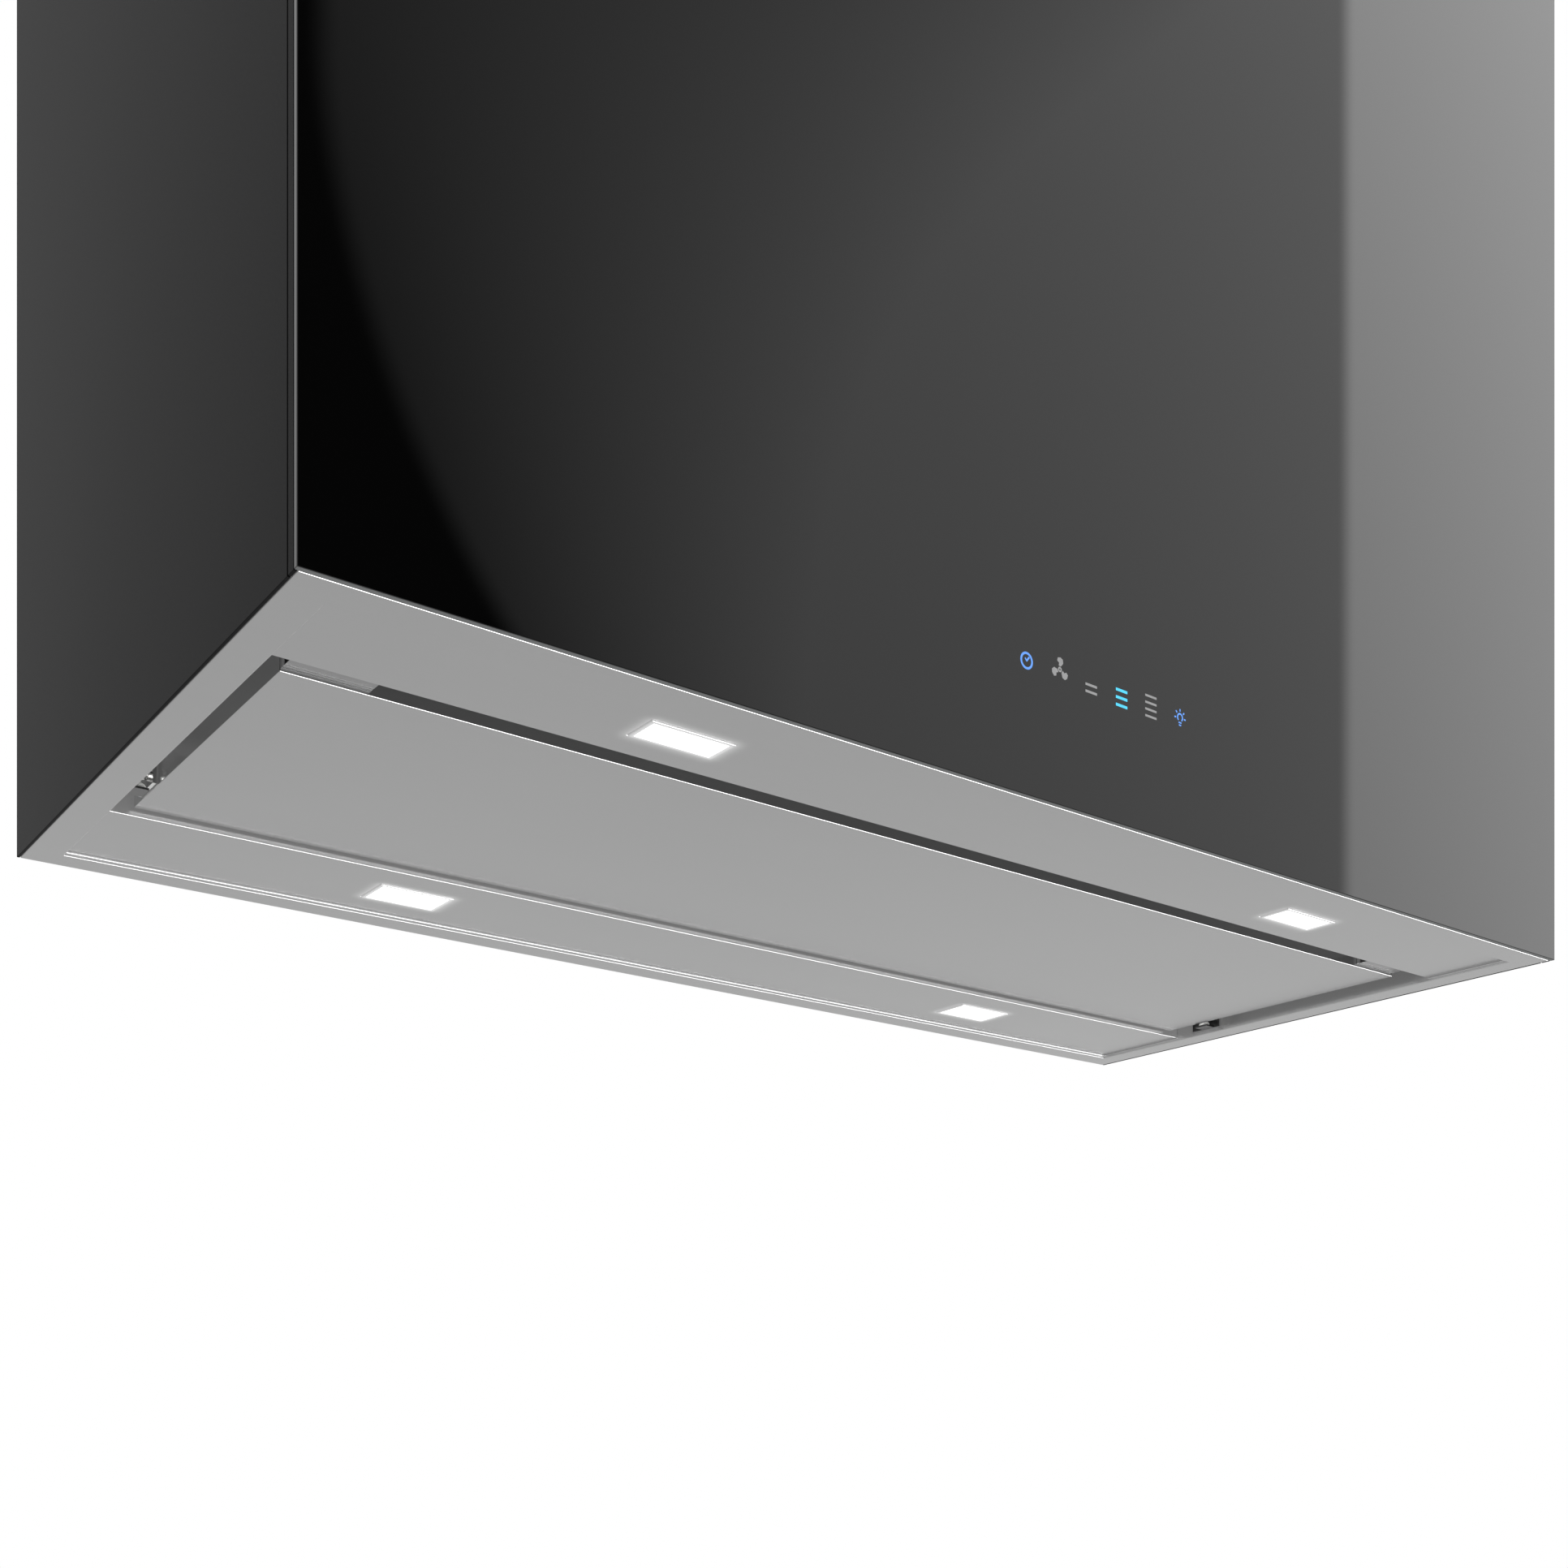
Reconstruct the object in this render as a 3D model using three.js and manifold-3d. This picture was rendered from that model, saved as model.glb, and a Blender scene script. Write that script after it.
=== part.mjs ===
// A wall-hung box range hood with perimeter suction, in millimetres, +Z up.
// The glass front faces -Y, the wall is the plane y = 0, and x = 0 is the middle of the width.
// Every piece is first placed with z = 0 at the underside; the whole group is then lowered so that
// the origin is the middle of the wall rail's rear face, where the hood is held.
import * as THREE from 'three';
import { mergeVertices } from 'three/addons/utils/BufferGeometryUtils.js';
import Module from 'manifold-3d';

const wasm = await Module();
wasm.setup();

// ---- Driving dimensions -------------------------------------------------------------------

const WIDTH = 900;
const DEPTH = 416;
const HEIGHT = 850;
const CLEAR = 0.3; // between two pieces that touch

const GLASS = 3.2; // thickness of the front glass
const CARRIER_DEPTH = 5.6; // steel pan bonded behind the glass
const CARRIER_SHEET = 1.2;
const SEAM = 0.9; // shadow gap between the carrier and the side panels
const SIDE_SHEET = 1.6;
const SIDE_FLANGE = 18; // returns of the side panels
const BACK_SHEET = 1.2;
const TOP_SHEET = 1.2;

const TRAY_SHEET = 1;
const TRAY_FLANGE = 18; // outer upstand of the tray
const RIM = 18.8; // width of the flat rim around the tray
const STEP = 2.2; // the light strips lie this much above the rim
const FRONT_STRIP = 62.1; // depth of the two light strips
const REAR_STRIP = 81.4;

const PANEL_RISE = 5.7; // underside of the suction panel above the rim
const PANEL_SHEET = 1;
const PANEL_FLANGE = 11;
const PANEL_SIDE_GAP = 13.2; // from the walls around the suction opening to the panel
const PANEL_FRONT_GAP = 20.5;
const PANEL_REAR_GAP = 3.6;
const BACKING_SHEET = 0.8;

const PIVOT_FROM_REAR = 27; // pivot in front of the panel's rear edge
const PIVOT_RISE = 15; // pivot above the rim
const PIN_RADIUS = 2.5;
const PIN_SHOULDER = 3.5;
const EAR_SHEET = 2;
const EAR_LENGTH = 24;
const EAR_MARGIN = 1.9; // metal above the pin's bore
const BRACKET_SHEET = 1.5;
const BRACKET_LENGTH = 26;
const BRACKET_ABOVE = 9; // top of the bracket above the pivot
const TAB_RISE = 3.6; // underside of the bracket's tab above the rim
const TAB_SHEET = 1.2;
const DOME_RADIUS = 4.7;
const DOME_HEIGHT = 4;
const DOME_AHEAD = 2.5; // the dome sits in front of the pivot
const DOME_STEPS = 6;

const MAGNET = { width: 42, height: 8, rise: 2, fromEnd: 1 }; // rise is above the panel's underside
const STRIKE_SHEET = 2;
const MAGNET_AIR = 0.6; // between magnet and strike, for the strike's swing

// Lamps: the front pair is shallower. The lens lies above the housing's lower face.
const LED = { width: 48, border: 2.3, proud: 0.6, recess: 0.5, lens: 2.8, height: 20, spread: 237 };
const LED_FRONT_DEPTH = 22;
const LED_REAR_DEPTH = 30;

const FILTER_NAMES = ['left', 'middle', 'right'];
const FILTER = { thick: 12, border: 11, between: 1, rise: 50, sidePlate: 55, wallAbove: 2 };
const FILTER_SLATS = 9;
const FILTER_SLAT_REACH = 0.62; // half a slat's width, in pitches, so that the rows overlap
const FILTER_SLAT_SHEET = 1.2;
const RAIL_SHEET = 3; // front rail, bored for the latch bolts
const LEDGE_SHEET = 1.2; // rear rail
const LEDGE_REACH = 12;
const FILTER_END_GAP = 0.8;
const LATCH = {
  width: 22, thick: 3.4, bite: 2.6, tab: 4, drop: 8, travel: 4, body: 20.5, box: 27, wall: 5,
};

const SCROLL = {
  ahead: 10, below: 210, gapMin: 12, gapMax: 62, width: 170, sheet: 1.5, sweep: 315, steps: 42,
};
const OUTLET_FRONT = 15; // front of the outlet, behind the scroll's axis
const INLET_OVERLAP = 4; // the inlet is this much wider than the blades' inner circle
const IMPELLER = {
  radius: 88, chord: 16, width: 130, blades: 22, blade: 1.6, ring: 3, disc: 2.5, pitch: 26,
  root: 3, hub: 14, hubAhead: 4, hubBehind: 18,
};
const SHAFT_RADIUS = 5;
const SHAFT_END = 8; // from the impeller's disc to the shaft's free end
const MOTOR = { radius: 42, front: -40, length: 100, socket: 30, shoulder: 5, taper: 8 };
// The star-shaped sheet that carries the motor outside the scroll's left side.
const SPIDER = { arms: 3, sheet: 3, width: 12, foot: 10, standoff: 14, clamp: 16, beyond: 14 };

const COLLAR = { radius: 74.5, wall: 1.5, height: 45, plate: 23.5, lap: 17, sheet: 1.5 };
const DAMPER = { gap: 2, sheet: 1.2, rise: 22, rod: 1.8, knuckle: 3.4, web: 4.2 };
const SCREW = { shank: 1.7, head: 3.5, headHeight: 2.2, length: 6, fromEdge: 8.5 };

// The touch unit behind the glass: a board, and a housing that is smaller by its margin all round.
const TOUCH = { width: 150, height: 34, depth: 8, rise: 69, board: 1.6, margin: 4 };
const BOX = { fromSide: 48, width: 150, depth: 92, below: 210, height: 150, wall: 2, fromBack: 12 };
const CAPACITOR = { radius: 17, length: 62 };
const GLAND = {
  thread: 8, plate: 13, sheet: 3, bore: 5, collar: 11, collarTop: 5, nut: 10, nutTop: 12, top: 16, below: 12,
};

// Pressed stiffening beads of the top and back sheets.
const BEAD = { half: 6, depth: 0.7, fromSide: 70, fromEdge: 80, pitch: 155 };
const KEYHOLE = { head: 6, neck: 3, climb: 12, fromMiddle: 240, rise: 60 };

const RAIL_BELOW = 75; // the wall rail's screws, and the origin, below the top
const WALL_RAIL = { width: 420, sheet: 2, below: 14, step: 14, lip: 16, offset: 7 };
const WINDOW = { margin: 6 }; // around the wall rail in the back panel
const HOOK = { shorter: 40, sheet: 2, reach: 34 };

const COLOURS = {
  glass: [0x0b0b0c, 0.05, 0.0],
  blackPaint: [0x1c1c1d, 0.4, 0.2],
  stainless: [0xb4b4b2, 0.32, 1.0],
  galvanised: [0x9fa4a6, 0.45, 0.9],
  aluminium: [0xc4c6c8, 0.35, 1.0],
  chrome: [0xe6e6e6, 0.08, 1.0],
  lens: [0xf6f8ff, 0.3, 0.0],
  blackPlastic: [0x161616, 0.55, 0.0],
  greyPlastic: [0x55585a, 0.5, 0.0],
  circuit: [0x14452c, 0.5, 0.0],
};

// ---- Places worked out from them ----------------------------------------------------------

const HALF = WIDTH / 2;
const FRONT = -DEPTH;
const CARRIER_FRONT = FRONT + GLASS + CLEAR;
const CARRIER_BACK = CARRIER_FRONT + CARRIER_DEPTH;
const SIDE_FRONT = CARRIER_BACK + SEAM;
const INNER_HALF = HALF - SIDE_SHEET - CLEAR; // half width between the side panels

const RIM_HALF = INNER_HALF - RIM;
const RIM_FRONT = CARRIER_FRONT + RIM;
const RIM_REAR = -RIM;
const WELL_FRONT = RIM_FRONT + FRONT_STRIP;
const WELL_REAR = RIM_REAR - REAR_STRIP;

const PANEL_HALF = RIM_HALF - PANEL_SIDE_GAP;
const PANEL_FRONT = WELL_FRONT + PANEL_FRONT_GAP;
const PANEL_REAR = WELL_REAR - PANEL_REAR_GAP;
const PANEL_TOP = PANEL_RISE + PANEL_FLANGE;
const PIVOT_Y = PANEL_REAR - PIVOT_FROM_REAR;
const WELL_HEIGHT = FILTER.rise + FILTER.thick + FILTER.wallAbove; // walls around the opening

const LAMPS = [
  ['front_left', -LED.spread, (RIM_FRONT + WELL_FRONT) / 2, LED_FRONT_DEPTH],
  ['front_right', LED.spread, (RIM_FRONT + WELL_FRONT) / 2, LED_FRONT_DEPTH],
  ['rear_left', -LED.spread, (RIM_REAR + WELL_REAR) / 2, LED_REAR_DEPTH],
  ['rear_right', LED.spread, (RIM_REAR + WELL_REAR) / 2, LED_REAR_DEPTH],
];

const FILTER_FRONT = WELL_FRONT + CLEAR + RAIL_SHEET + FILTER_END_GAP;
const FILTER_REAR = WELL_REAR - CLEAR - LEDGE_SHEET - FILTER_END_GAP;
const FILTERS_HALF = RIM_HALF - FILTER.sidePlate - 2 * CLEAR;
const FILTER_WIDTH = (2 * FILTERS_HALF + FILTER.between) / FILTER_NAMES.length - FILTER.between;
const FILTER_PITCH = FILTER_WIDTH + FILTER.between;
const FILTERS = FILTER_NAMES.map(
  (name, i) => [name, (i - (FILTER_NAMES.length - 1) / 2) * FILTER_PITCH],
);
const FILTER_TOP = FILTER.rise + FILTER.thick;

const FAN_Y = -DEPTH / 2 - SCROLL.ahead; // axis of the blower
const FAN_Z = HEIGHT - SCROLL.below;
const SCROLL_MAX = IMPELLER.radius + SCROLL.gapMax;
const SCROLL_MIN = IMPELLER.radius + SCROLL.gapMin;
const BLADE_INNER = IMPELLER.radius - IMPELLER.chord;
const INLET_RADIUS = BLADE_INNER + INLET_OVERLAP;
const OUTLET_TOP = HEIGHT - TOP_SHEET - 2 * CLEAR;

const DUCT_Y = FAN_Y + (OUTLET_FRONT + SCROLL_MAX) / 2;
const DUCT_BORE = COLLAR.radius - COLLAR.wall;
const COLLAR_PLATE = COLLAR.radius + COLLAR.plate;
const DUCT_WINDOW = COLLAR_PLATE - COLLAR.lap; // square opening under the collar's plate
const SCREW_OUT = COLLAR_PLATE - SCREW.fromEdge;
const SCREW_HOLE = SCREW.shank + CLEAR;
const DAMPER_Z = HEIGHT + DAMPER.rise;
const DAMPER_RADIUS = DUCT_BORE - DAMPER.gap;

const BOX_X = INNER_HALF - BOX.fromSide - BOX.width;
const BOX_RISE = HEIGHT - BOX.below;
const GLAND_X = BOX_X + BOX.width / 2;
const GLAND_Y = -BOX.fromBack - BOX.depth / 2;
const RAIL_RISE = HEIGHT - RAIL_BELOW;

// ---- Shapes and joining --------------------------------------------------------------------

// A closed geometry as a solid that can be joined or cut.
function solidOf(geometry) {
  const bare = (geometry.index ? geometry.toNonIndexed() : geometry).clone();
  bare.deleteAttribute('normal');
  bare.deleteAttribute('uv');
  const merged = mergeVertices(bare, 1e-4);
  const made = new wasm.Manifold(new wasm.Mesh({
    numProp: 3,
    vertProperties: new Float32Array(merged.attributes.position.array),
    triVerts: new Uint32Array(merged.index.array),
  }));
  return made;
}

function geometryOf(solid) {
  const mesh = solid.getMesh();
  const geometry = new THREE.BufferGeometry();
  const corners = new Float32Array(mesh.numVert * 3);
  for (let i = 0; i < mesh.numVert; i += 1) {
    const from = i * mesh.numProp;
    corners.set(mesh.vertProperties.subarray(from, from + 3), i * 3);
  }
  geometry.setAttribute('position', new THREE.BufferAttribute(corners, 3));
  geometry.setIndex(new THREE.BufferAttribute(new Uint32Array(mesh.triVerts), 1));
  geometry.computeVertexNormals();
  return geometry;
}

const join = (...solids) => solids.reduce((all, one) => all.add(one));
const cut = (solid, ...tools) => tools.reduce((rest, tool) => rest.subtract(tool), solid);

// A box between two corners.
function box(x0, x1, y0, y1, z0, z1) {
  const geometry = new THREE.BoxGeometry(x1 - x0, y1 - y0, z1 - z0);
  geometry.translate((x0 + x1) / 2, (y0 + y1) / 2, (z0 + z1) / 2);
  return solidOf(geometry);
}

// A box that is as far to the left as to the right of x = 0.
const band = (half, y0, y1, z0, z1) => box(-half, half, y0, y1, z0, z1);

// The walls of a rectangular tube that stands on z0, with its outer faces at the given places.
function ring(half, y0, y1, z0, z1, sheet) {
  const inside = band(half - sheet, y0 + sheet, y1 - sheet, z0 - 1, z1 + 1);
  return cut(band(half, y0, y1, z0, z1), inside);
}

function uprightCylinder(radius, x, y, z0, z1, sides = 32) {
  const geometry = new THREE.CylinderGeometry(radius, radius, z1 - z0, sides);
  geometry.rotateX(Math.PI / 2);
  geometry.translate(x, y, (z0 + z1) / 2);
  return solidOf(geometry);
}

function crosswiseCylinder(radius, x0, x1, y, z, sides = 32) {
  const geometry = new THREE.CylinderGeometry(radius, radius, x1 - x0, sides);
  geometry.rotateZ(Math.PI / 2);
  geometry.translate((x0 + x1) / 2, y, z);
  return solidOf(geometry);
}

// An outline in the (y, z) plane, drawn out along x.
function profile(outline, x0, x1) {
  const shape = new THREE.Shape(outline.map(([y, z]) => new THREE.Vector2(y, z)));
  const geometry = new THREE.ExtrudeGeometry(shape, { depth: x1 - x0, bevelEnabled: false });
  const turn = new THREE.Matrix4().makeBasis(
    new THREE.Vector3(0, 1, 0),
    new THREE.Vector3(0, 0, 1),
    new THREE.Vector3(1, 0, 0),
  );
  geometry.applyMatrix4(turn);
  geometry.translate(x0, 0, 0);
  return solidOf(geometry);
}

// A ring or a plug turned about an upright axis; the outline is a list of [radius, height].
function turned(outline, x, y, sides = 32) {
  const closed = [...outline, outline[0]].map(([r, z]) => new THREE.Vector2(r, z));
  const geometry = new THREE.LatheGeometry(closed, sides);
  geometry.rotateX(Math.PI / 2);
  geometry.translate(x, y, 0);
  return solidOf(geometry);
}

const root = new THREE.Group();
const hood = new THREE.Group();
hood.position.z = -RAIL_RISE;
root.add(hood);

function place(name, solid, [colour, roughness, metalness]) {
  const material = new THREE.MeshStandardMaterial({ color: colour, roughness, metalness });
  const mesh = new THREE.Mesh(geometryOf(solid), material);
  mesh.name = name;
  hood.add(mesh);
}

const SIDES = [['left', -1], ['right', 1]];
// The box from x = a to x = b on the right, or its mirror image on the left.
function sideBox(side, a, b, y0, y1, z0, z1) {
  return box(Math.min(side * a, side * b), Math.max(side * a, side * b), y0, y1, z0, z1);
}

// ---- Casing ---------------------------------------------------------------------------------

function frontGlass() {
  place('front_glass', band(HALF, FRONT, FRONT + GLASS, 0, HEIGHT), COLOURS.glass);
}

// A pan behind the glass: a face, and returns on both sides and along the top.
function frontCarrier() {
  const foot = TRAY_FLANGE + CLEAR;
  const face = band(HALF, CARRIER_FRONT, CARRIER_FRONT + CARRIER_SHEET, foot, HEIGHT);
  const top = band(HALF, CARRIER_FRONT, CARRIER_BACK, HEIGHT - CARRIER_SHEET, HEIGHT);
  const returns = SIDES.map(([, side]) => sideBox(
    side, INNER_HALF + CLEAR, HALF, CARRIER_FRONT, CARRIER_BACK, 0, HEIGHT,
  ));
  const window = band(
    TOUCH.width / 2 + CLEAR, CARRIER_FRONT - 1, CARRIER_BACK,
    TOUCH.rise - TOUCH.height / 2 - CLEAR, TOUCH.rise + TOUCH.height / 2 + CLEAR,
  );
  place('front_carrier', cut(join(face, top, ...returns), window), COLOURS.blackPaint);
}

function sidePanels() {
  const foot = TRAY_FLANGE + CLEAR;
  const rear = -BACK_SHEET - CLEAR;
  const top = HEIGHT - TOP_SHEET - CLEAR;
  SIDES.forEach(([name, side]) => {
    const inner = HALF - SIDE_SHEET;
    const tip = HALF - SIDE_FLANGE;
    place(`side_panel_${name}`, join(
      sideBox(side, inner, HALF, SIDE_FRONT, 0, 0, HEIGHT),
      sideBox(side, tip, HALF, SIDE_FRONT, SIDE_FRONT + SIDE_SHEET, foot, top),
      sideBox(side, tip, HALF, rear - SIDE_SHEET, rear, foot, top),
      sideBox(side, tip, HALF, SIDE_FRONT, rear, top - SIDE_SHEET, top),
    ), COLOURS.blackPaint);
  });
}

// The round tool that presses a bead's width and depth into a sheet.
const BEAD_RADIUS = (BEAD.half ** 2 + BEAD.depth ** 2) / (2 * BEAD.depth);
const BEAD_SIDES = 120;

// Keyhole slot for a lower wall screw, narrow end up.
function keyhole(x, z) {
  const head = new THREE.CylinderGeometry(KEYHOLE.head, KEYHOLE.head, 2 * BACK_SHEET + 2, 24);
  head.translate(x, 0, z);
  return join(
    solidOf(head),
    box(x - KEYHOLE.neck, x + KEYHOLE.neck, -BACK_SHEET - 1, BACK_SHEET + 1, z, z + KEYHOLE.climb),
  );
}

function backPanel() {
  const sheet = band(INNER_HALF, -BACK_SHEET, 0, TRAY_FLANGE + CLEAR, HEIGHT - TOP_SHEET - CLEAR);
  const foot = TRAY_FLANGE + BEAD.fromEdge;
  const head = RAIL_RISE - WALL_RAIL.below - WINDOW.margin - BEAD.fromEdge / 2;
  const beads = [-2, -1, 0, 1, 2].map((step) => uprightCylinder(
    BEAD_RADIUS, step * BEAD.pitch, BEAD_RADIUS - BEAD.depth, foot, head, BEAD_SIDES,
  ));
  const keyholes = [-1, 1].map((way) => keyhole(way * KEYHOLE.fromMiddle, KEYHOLE.rise));
  const window = band(
    WALL_RAIL.width / 2 + WINDOW.margin, -BACK_SHEET - 1, 1,
    RAIL_RISE - WALL_RAIL.below - WINDOW.margin,
    RAIL_RISE + WALL_RAIL.step + WALL_RAIL.lip + WINDOW.margin,
  );
  place('back_panel', cut(sheet, window, ...beads, ...keyholes), COLOURS.galvanised);
}

// Two at the plate's rear corners and one in the middle of its front edge.
function collarScrewPlaces() {
  return [[-1, 1], [1, 1], [0, -1]].map(([x, y]) => [x * SCREW_OUT, DUCT_Y + y * SCREW_OUT]);
}

function topPanel() {
  const sheet = band(INNER_HALF, CARRIER_BACK + CLEAR, 0, HEIGHT - TOP_SHEET, HEIGHT);
  const through = [HEIGHT - TOP_SHEET - 1, HEIGHT + 1];
  const gland = GLAND.thread + CLEAR;
  const ahead = (CARRIER_BACK + DUCT_Y - COLLAR_PLATE) / 2;
  const bead = (x0, x1, y) => crosswiseCylinder(
    BEAD_RADIUS, x0, x1, y, HEIGHT + BEAD_RADIUS - BEAD.depth, BEAD_SIDES,
  );
  const far = HALF - BEAD.fromSide;
  const near = COLLAR_PLATE + BEAD.fromSide / 2;
  place('top_panel', cut(
    sheet,
    band(DUCT_WINDOW, DUCT_Y - DUCT_WINDOW, DUCT_Y + DUCT_WINDOW, ...through),
    box(GLAND_X - gland, GLAND_X + gland, GLAND_Y - gland, GLAND_Y + gland, ...through),
    bead(-far, far, ahead),
    bead(-far, -near, DUCT_Y),
    bead(near, far, DUCT_Y),
    ...collarScrewPlaces().map(([x, y]) => uprightCylinder(SCREW_HOLE, x, y, ...through, 12)),
  ), COLOURS.galvanised);
}

// ---- Tray, lamps and suction panel -----------------------------------------------------------

function canopyTray() {
  const rim = band(INNER_HALF, CARRIER_FRONT, 0, 0, TRAY_SHEET);
  const insideRim = band(RIM_HALF, RIM_FRONT, RIM_REAR, -1, WELL_HEIGHT + 1);
  const upstand = ring(INNER_HALF, CARRIER_FRONT, 0, 0, TRAY_FLANGE, TRAY_SHEET);
  const stepTop = STEP + TRAY_SHEET;
  const step = ring(
    RIM_HALF + TRAY_SHEET, RIM_FRONT - TRAY_SHEET, RIM_REAR + TRAY_SHEET, 0, stepTop, TRAY_SHEET,
  );
  const strips = cut(
    band(RIM_HALF + TRAY_SHEET, RIM_FRONT - TRAY_SHEET, RIM_REAR + TRAY_SHEET, STEP, stepTop),
    band(RIM_HALF, WELL_FRONT, WELL_REAR, STEP - 1, stepTop + 1),
  );
  const well = ring(
    RIM_HALF + TRAY_SHEET, WELL_FRONT - TRAY_SHEET, WELL_REAR + TRAY_SHEET, STEP, WELL_HEIGHT, TRAY_SHEET,
  );
  const lampHoles = LAMPS.map(([, x, y, depth]) => box(
    x - LED.width / 2 - CLEAR, x + LED.width / 2 + CLEAR,
    y - depth / 2 - CLEAR, y + depth / 2 + CLEAR, 0, stepTop + 1,
  ));
  place('canopy_tray', cut(
    join(cut(rim, insideRim), upstand, step, strips, well), ...lampHoles,
  ), COLOURS.stainless);
}

// A block through the strip, with a pocket in its lower face that the lens sits up inside.
function lamps() {
  const foot = STEP - LED.proud;
  const lensFoot = foot + LED.recess;
  const lensTop = lensFoot + LED.lens;
  LAMPS.forEach(([name, x, y, depth]) => {
    const block = (inset, z0, z1) => box(
      x - LED.width / 2 + inset, x + LED.width / 2 - inset,
      y - depth / 2 + inset, y + depth / 2 - inset, z0, z1,
    );
    const pocket = block(LED.border, foot - 1, lensTop + CLEAR);
    place(`led_housing_${name}`, cut(block(0, foot, foot + LED.height), pocket), COLOURS.aluminium);
    place(`led_lens_${name}`, block(LED.border + CLEAR, lensFoot, lensTop), COLOURS.lens);
  });
}

function suctionPanel() {
  place('suction_panel', join(
    band(PANEL_HALF, PANEL_FRONT, PANEL_REAR, PANEL_RISE, PANEL_RISE + PANEL_SHEET),
    ring(PANEL_HALF, PANEL_FRONT, PANEL_REAR, PANEL_RISE, PANEL_TOP, PANEL_SHEET),
  ), COLOURS.stainless);
  const inset = PANEL_SHEET + CLEAR;
  const half = PANEL_HALF - inset;
  const y = [PANEL_FRONT + inset, PANEL_REAR - inset];
  const foot = PANEL_RISE + PANEL_SHEET + CLEAR;
  place('panel_backing', join(
    band(half, ...y, PANEL_TOP - CLEAR - BACKING_SHEET, PANEL_TOP - CLEAR),
    ring(half, ...y, foot, PANEL_TOP - CLEAR, BACKING_SHEET),
  ), COLOURS.galvanised);
}

function panelHinges() {
  const earIn = PANEL_HALF + CLEAR;
  const earOut = earIn + EAR_SHEET;
  const wall = RIM_HALF - CLEAR;
  const leg = wall - BRACKET_SHEET;
  const tabTop = TAB_RISE + TAB_SHEET;
  const domeX = (earOut + CLEAR + leg) / 2;
  const domeY = PIVOT_Y - DOME_AHEAD;
  SIDES.forEach(([name, side]) => {
    const along = (radius, a, b) => crosswiseCylinder(
      radius, Math.min(side * a, side * b), Math.max(side * a, side * b), PIVOT_Y, PIVOT_RISE, 24,
    );
    const bore = PIN_RADIUS + CLEAR;
    place(`panel_hinge_ear_${name}`, cut(
      sideBox(
        side, earIn, earOut, PIVOT_Y - EAR_LENGTH / 2, PIVOT_Y + EAR_LENGTH / 2,
        PANEL_RISE + PANEL_SHEET, PIVOT_RISE + bore + EAR_MARGIN,
      ),
      along(bore, earIn - 1, earOut + 1),
    ), COLOURS.stainless);
    place(`hinge_bracket_${name}`, cut(join(
      sideBox(
        side, leg, wall, PIVOT_Y - BRACKET_LENGTH / 2, PIVOT_Y + BRACKET_LENGTH / 2,
        TAB_RISE, PIVOT_RISE + BRACKET_ABOVE,
      ),
      sideBox(
        side, earOut + 2 * CLEAR, wall, domeY - DOME_RADIUS - 1, domeY + DOME_RADIUS + 1, TAB_RISE, tabTop,
      ),
    ), along(bore, leg - 1, wall + 1)), COLOURS.stainless);
    place(`hinge_pin_${name}`, join(
      along(PIN_RADIUS, earIn + CLEAR, wall),
      along(PIN_SHOULDER, earOut + 2 * CLEAR, leg - CLEAR),
    ), COLOURS.chrome);
    const domeFoot = tabTop + CLEAR;
    const domeRadius = Math.min(DOME_RADIUS, domeX - earOut - CLEAR);
    const curve = Array.from({ length: DOME_STEPS }, (_, i) => {
      const angle = (i * Math.PI) / 2 / DOME_STEPS;
      return [domeRadius * Math.cos(angle), domeFoot + DOME_HEIGHT * Math.sin(angle)];
    });
    place(`hinge_dome_${name}`, turned(
      [[0, domeFoot], ...curve, [0, domeFoot + DOME_HEIGHT]], side * domeX, domeY, 20,
    ), COLOURS.chrome);
  });
}

function magnets() {
  const strikeFront = PANEL_FRONT - CLEAR - STRIKE_SHEET;
  const foot = PANEL_RISE + MAGNET.rise;
  const top = foot + MAGNET.height;
  SIDES.forEach(([name, side]) => {
    const out = PANEL_HALF - MAGNET.fromEnd;
    const across = [out - MAGNET.width, out];
    place(`magnet_${name}`, sideBox(
      side, ...across, WELL_FRONT + CLEAR, strikeFront - MAGNET_AIR, foot, top,
    ), COLOURS.galvanised);
    place(`magnet_strike_${name}`, sideBox(
      side, ...across, strikeFront, PANEL_FRONT - CLEAR, foot, top,
    ), COLOURS.galvanised);
  });
}

// ---- Grease filters --------------------------------------------------------------------------

function filterRails() {
  const foot = FILTER.rise - 2;
  const boltZ = FILTER.rise + FILTER.thick / 2;
  const holes = FILTERS.map(([, x]) => box(
    x - LATCH.width / 2 - CLEAR, x + LATCH.width / 2 + CLEAR, WELL_FRONT, WELL_FRONT + 2 * RAIL_SHEET,
    boltZ - LATCH.thick / 2 - CLEAR, boltZ + LATCH.thick / 2 + CLEAR,
  ));
  const half = RIM_HALF - CLEAR;
  place('filter_rail_front', cut(
    band(half, WELL_FRONT + CLEAR, WELL_FRONT + CLEAR + RAIL_SHEET, foot, WELL_HEIGHT), ...holes,
  ), COLOURS.stainless);
  const back = WELL_REAR - CLEAR;
  place('filter_rail_rear', join(
    band(half, back - LEDGE_SHEET, back, foot, WELL_HEIGHT),
    band(half, back - LEDGE_REACH, back, FILTER.rise - CLEAR - LEDGE_SHEET, FILTER.rise - CLEAR),
  ), COLOURS.stainless);
  SIDES.forEach(([name, side]) => {
    place(`filter_side_plate_${name}`, sideBox(
      side, FILTERS_HALF + CLEAR, half, FILTER_FRONT, FILTER_REAR, FILTER.rise, FILTER.rise + TRAY_SHEET,
    ), COLOURS.stainless);
  });
}

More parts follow.
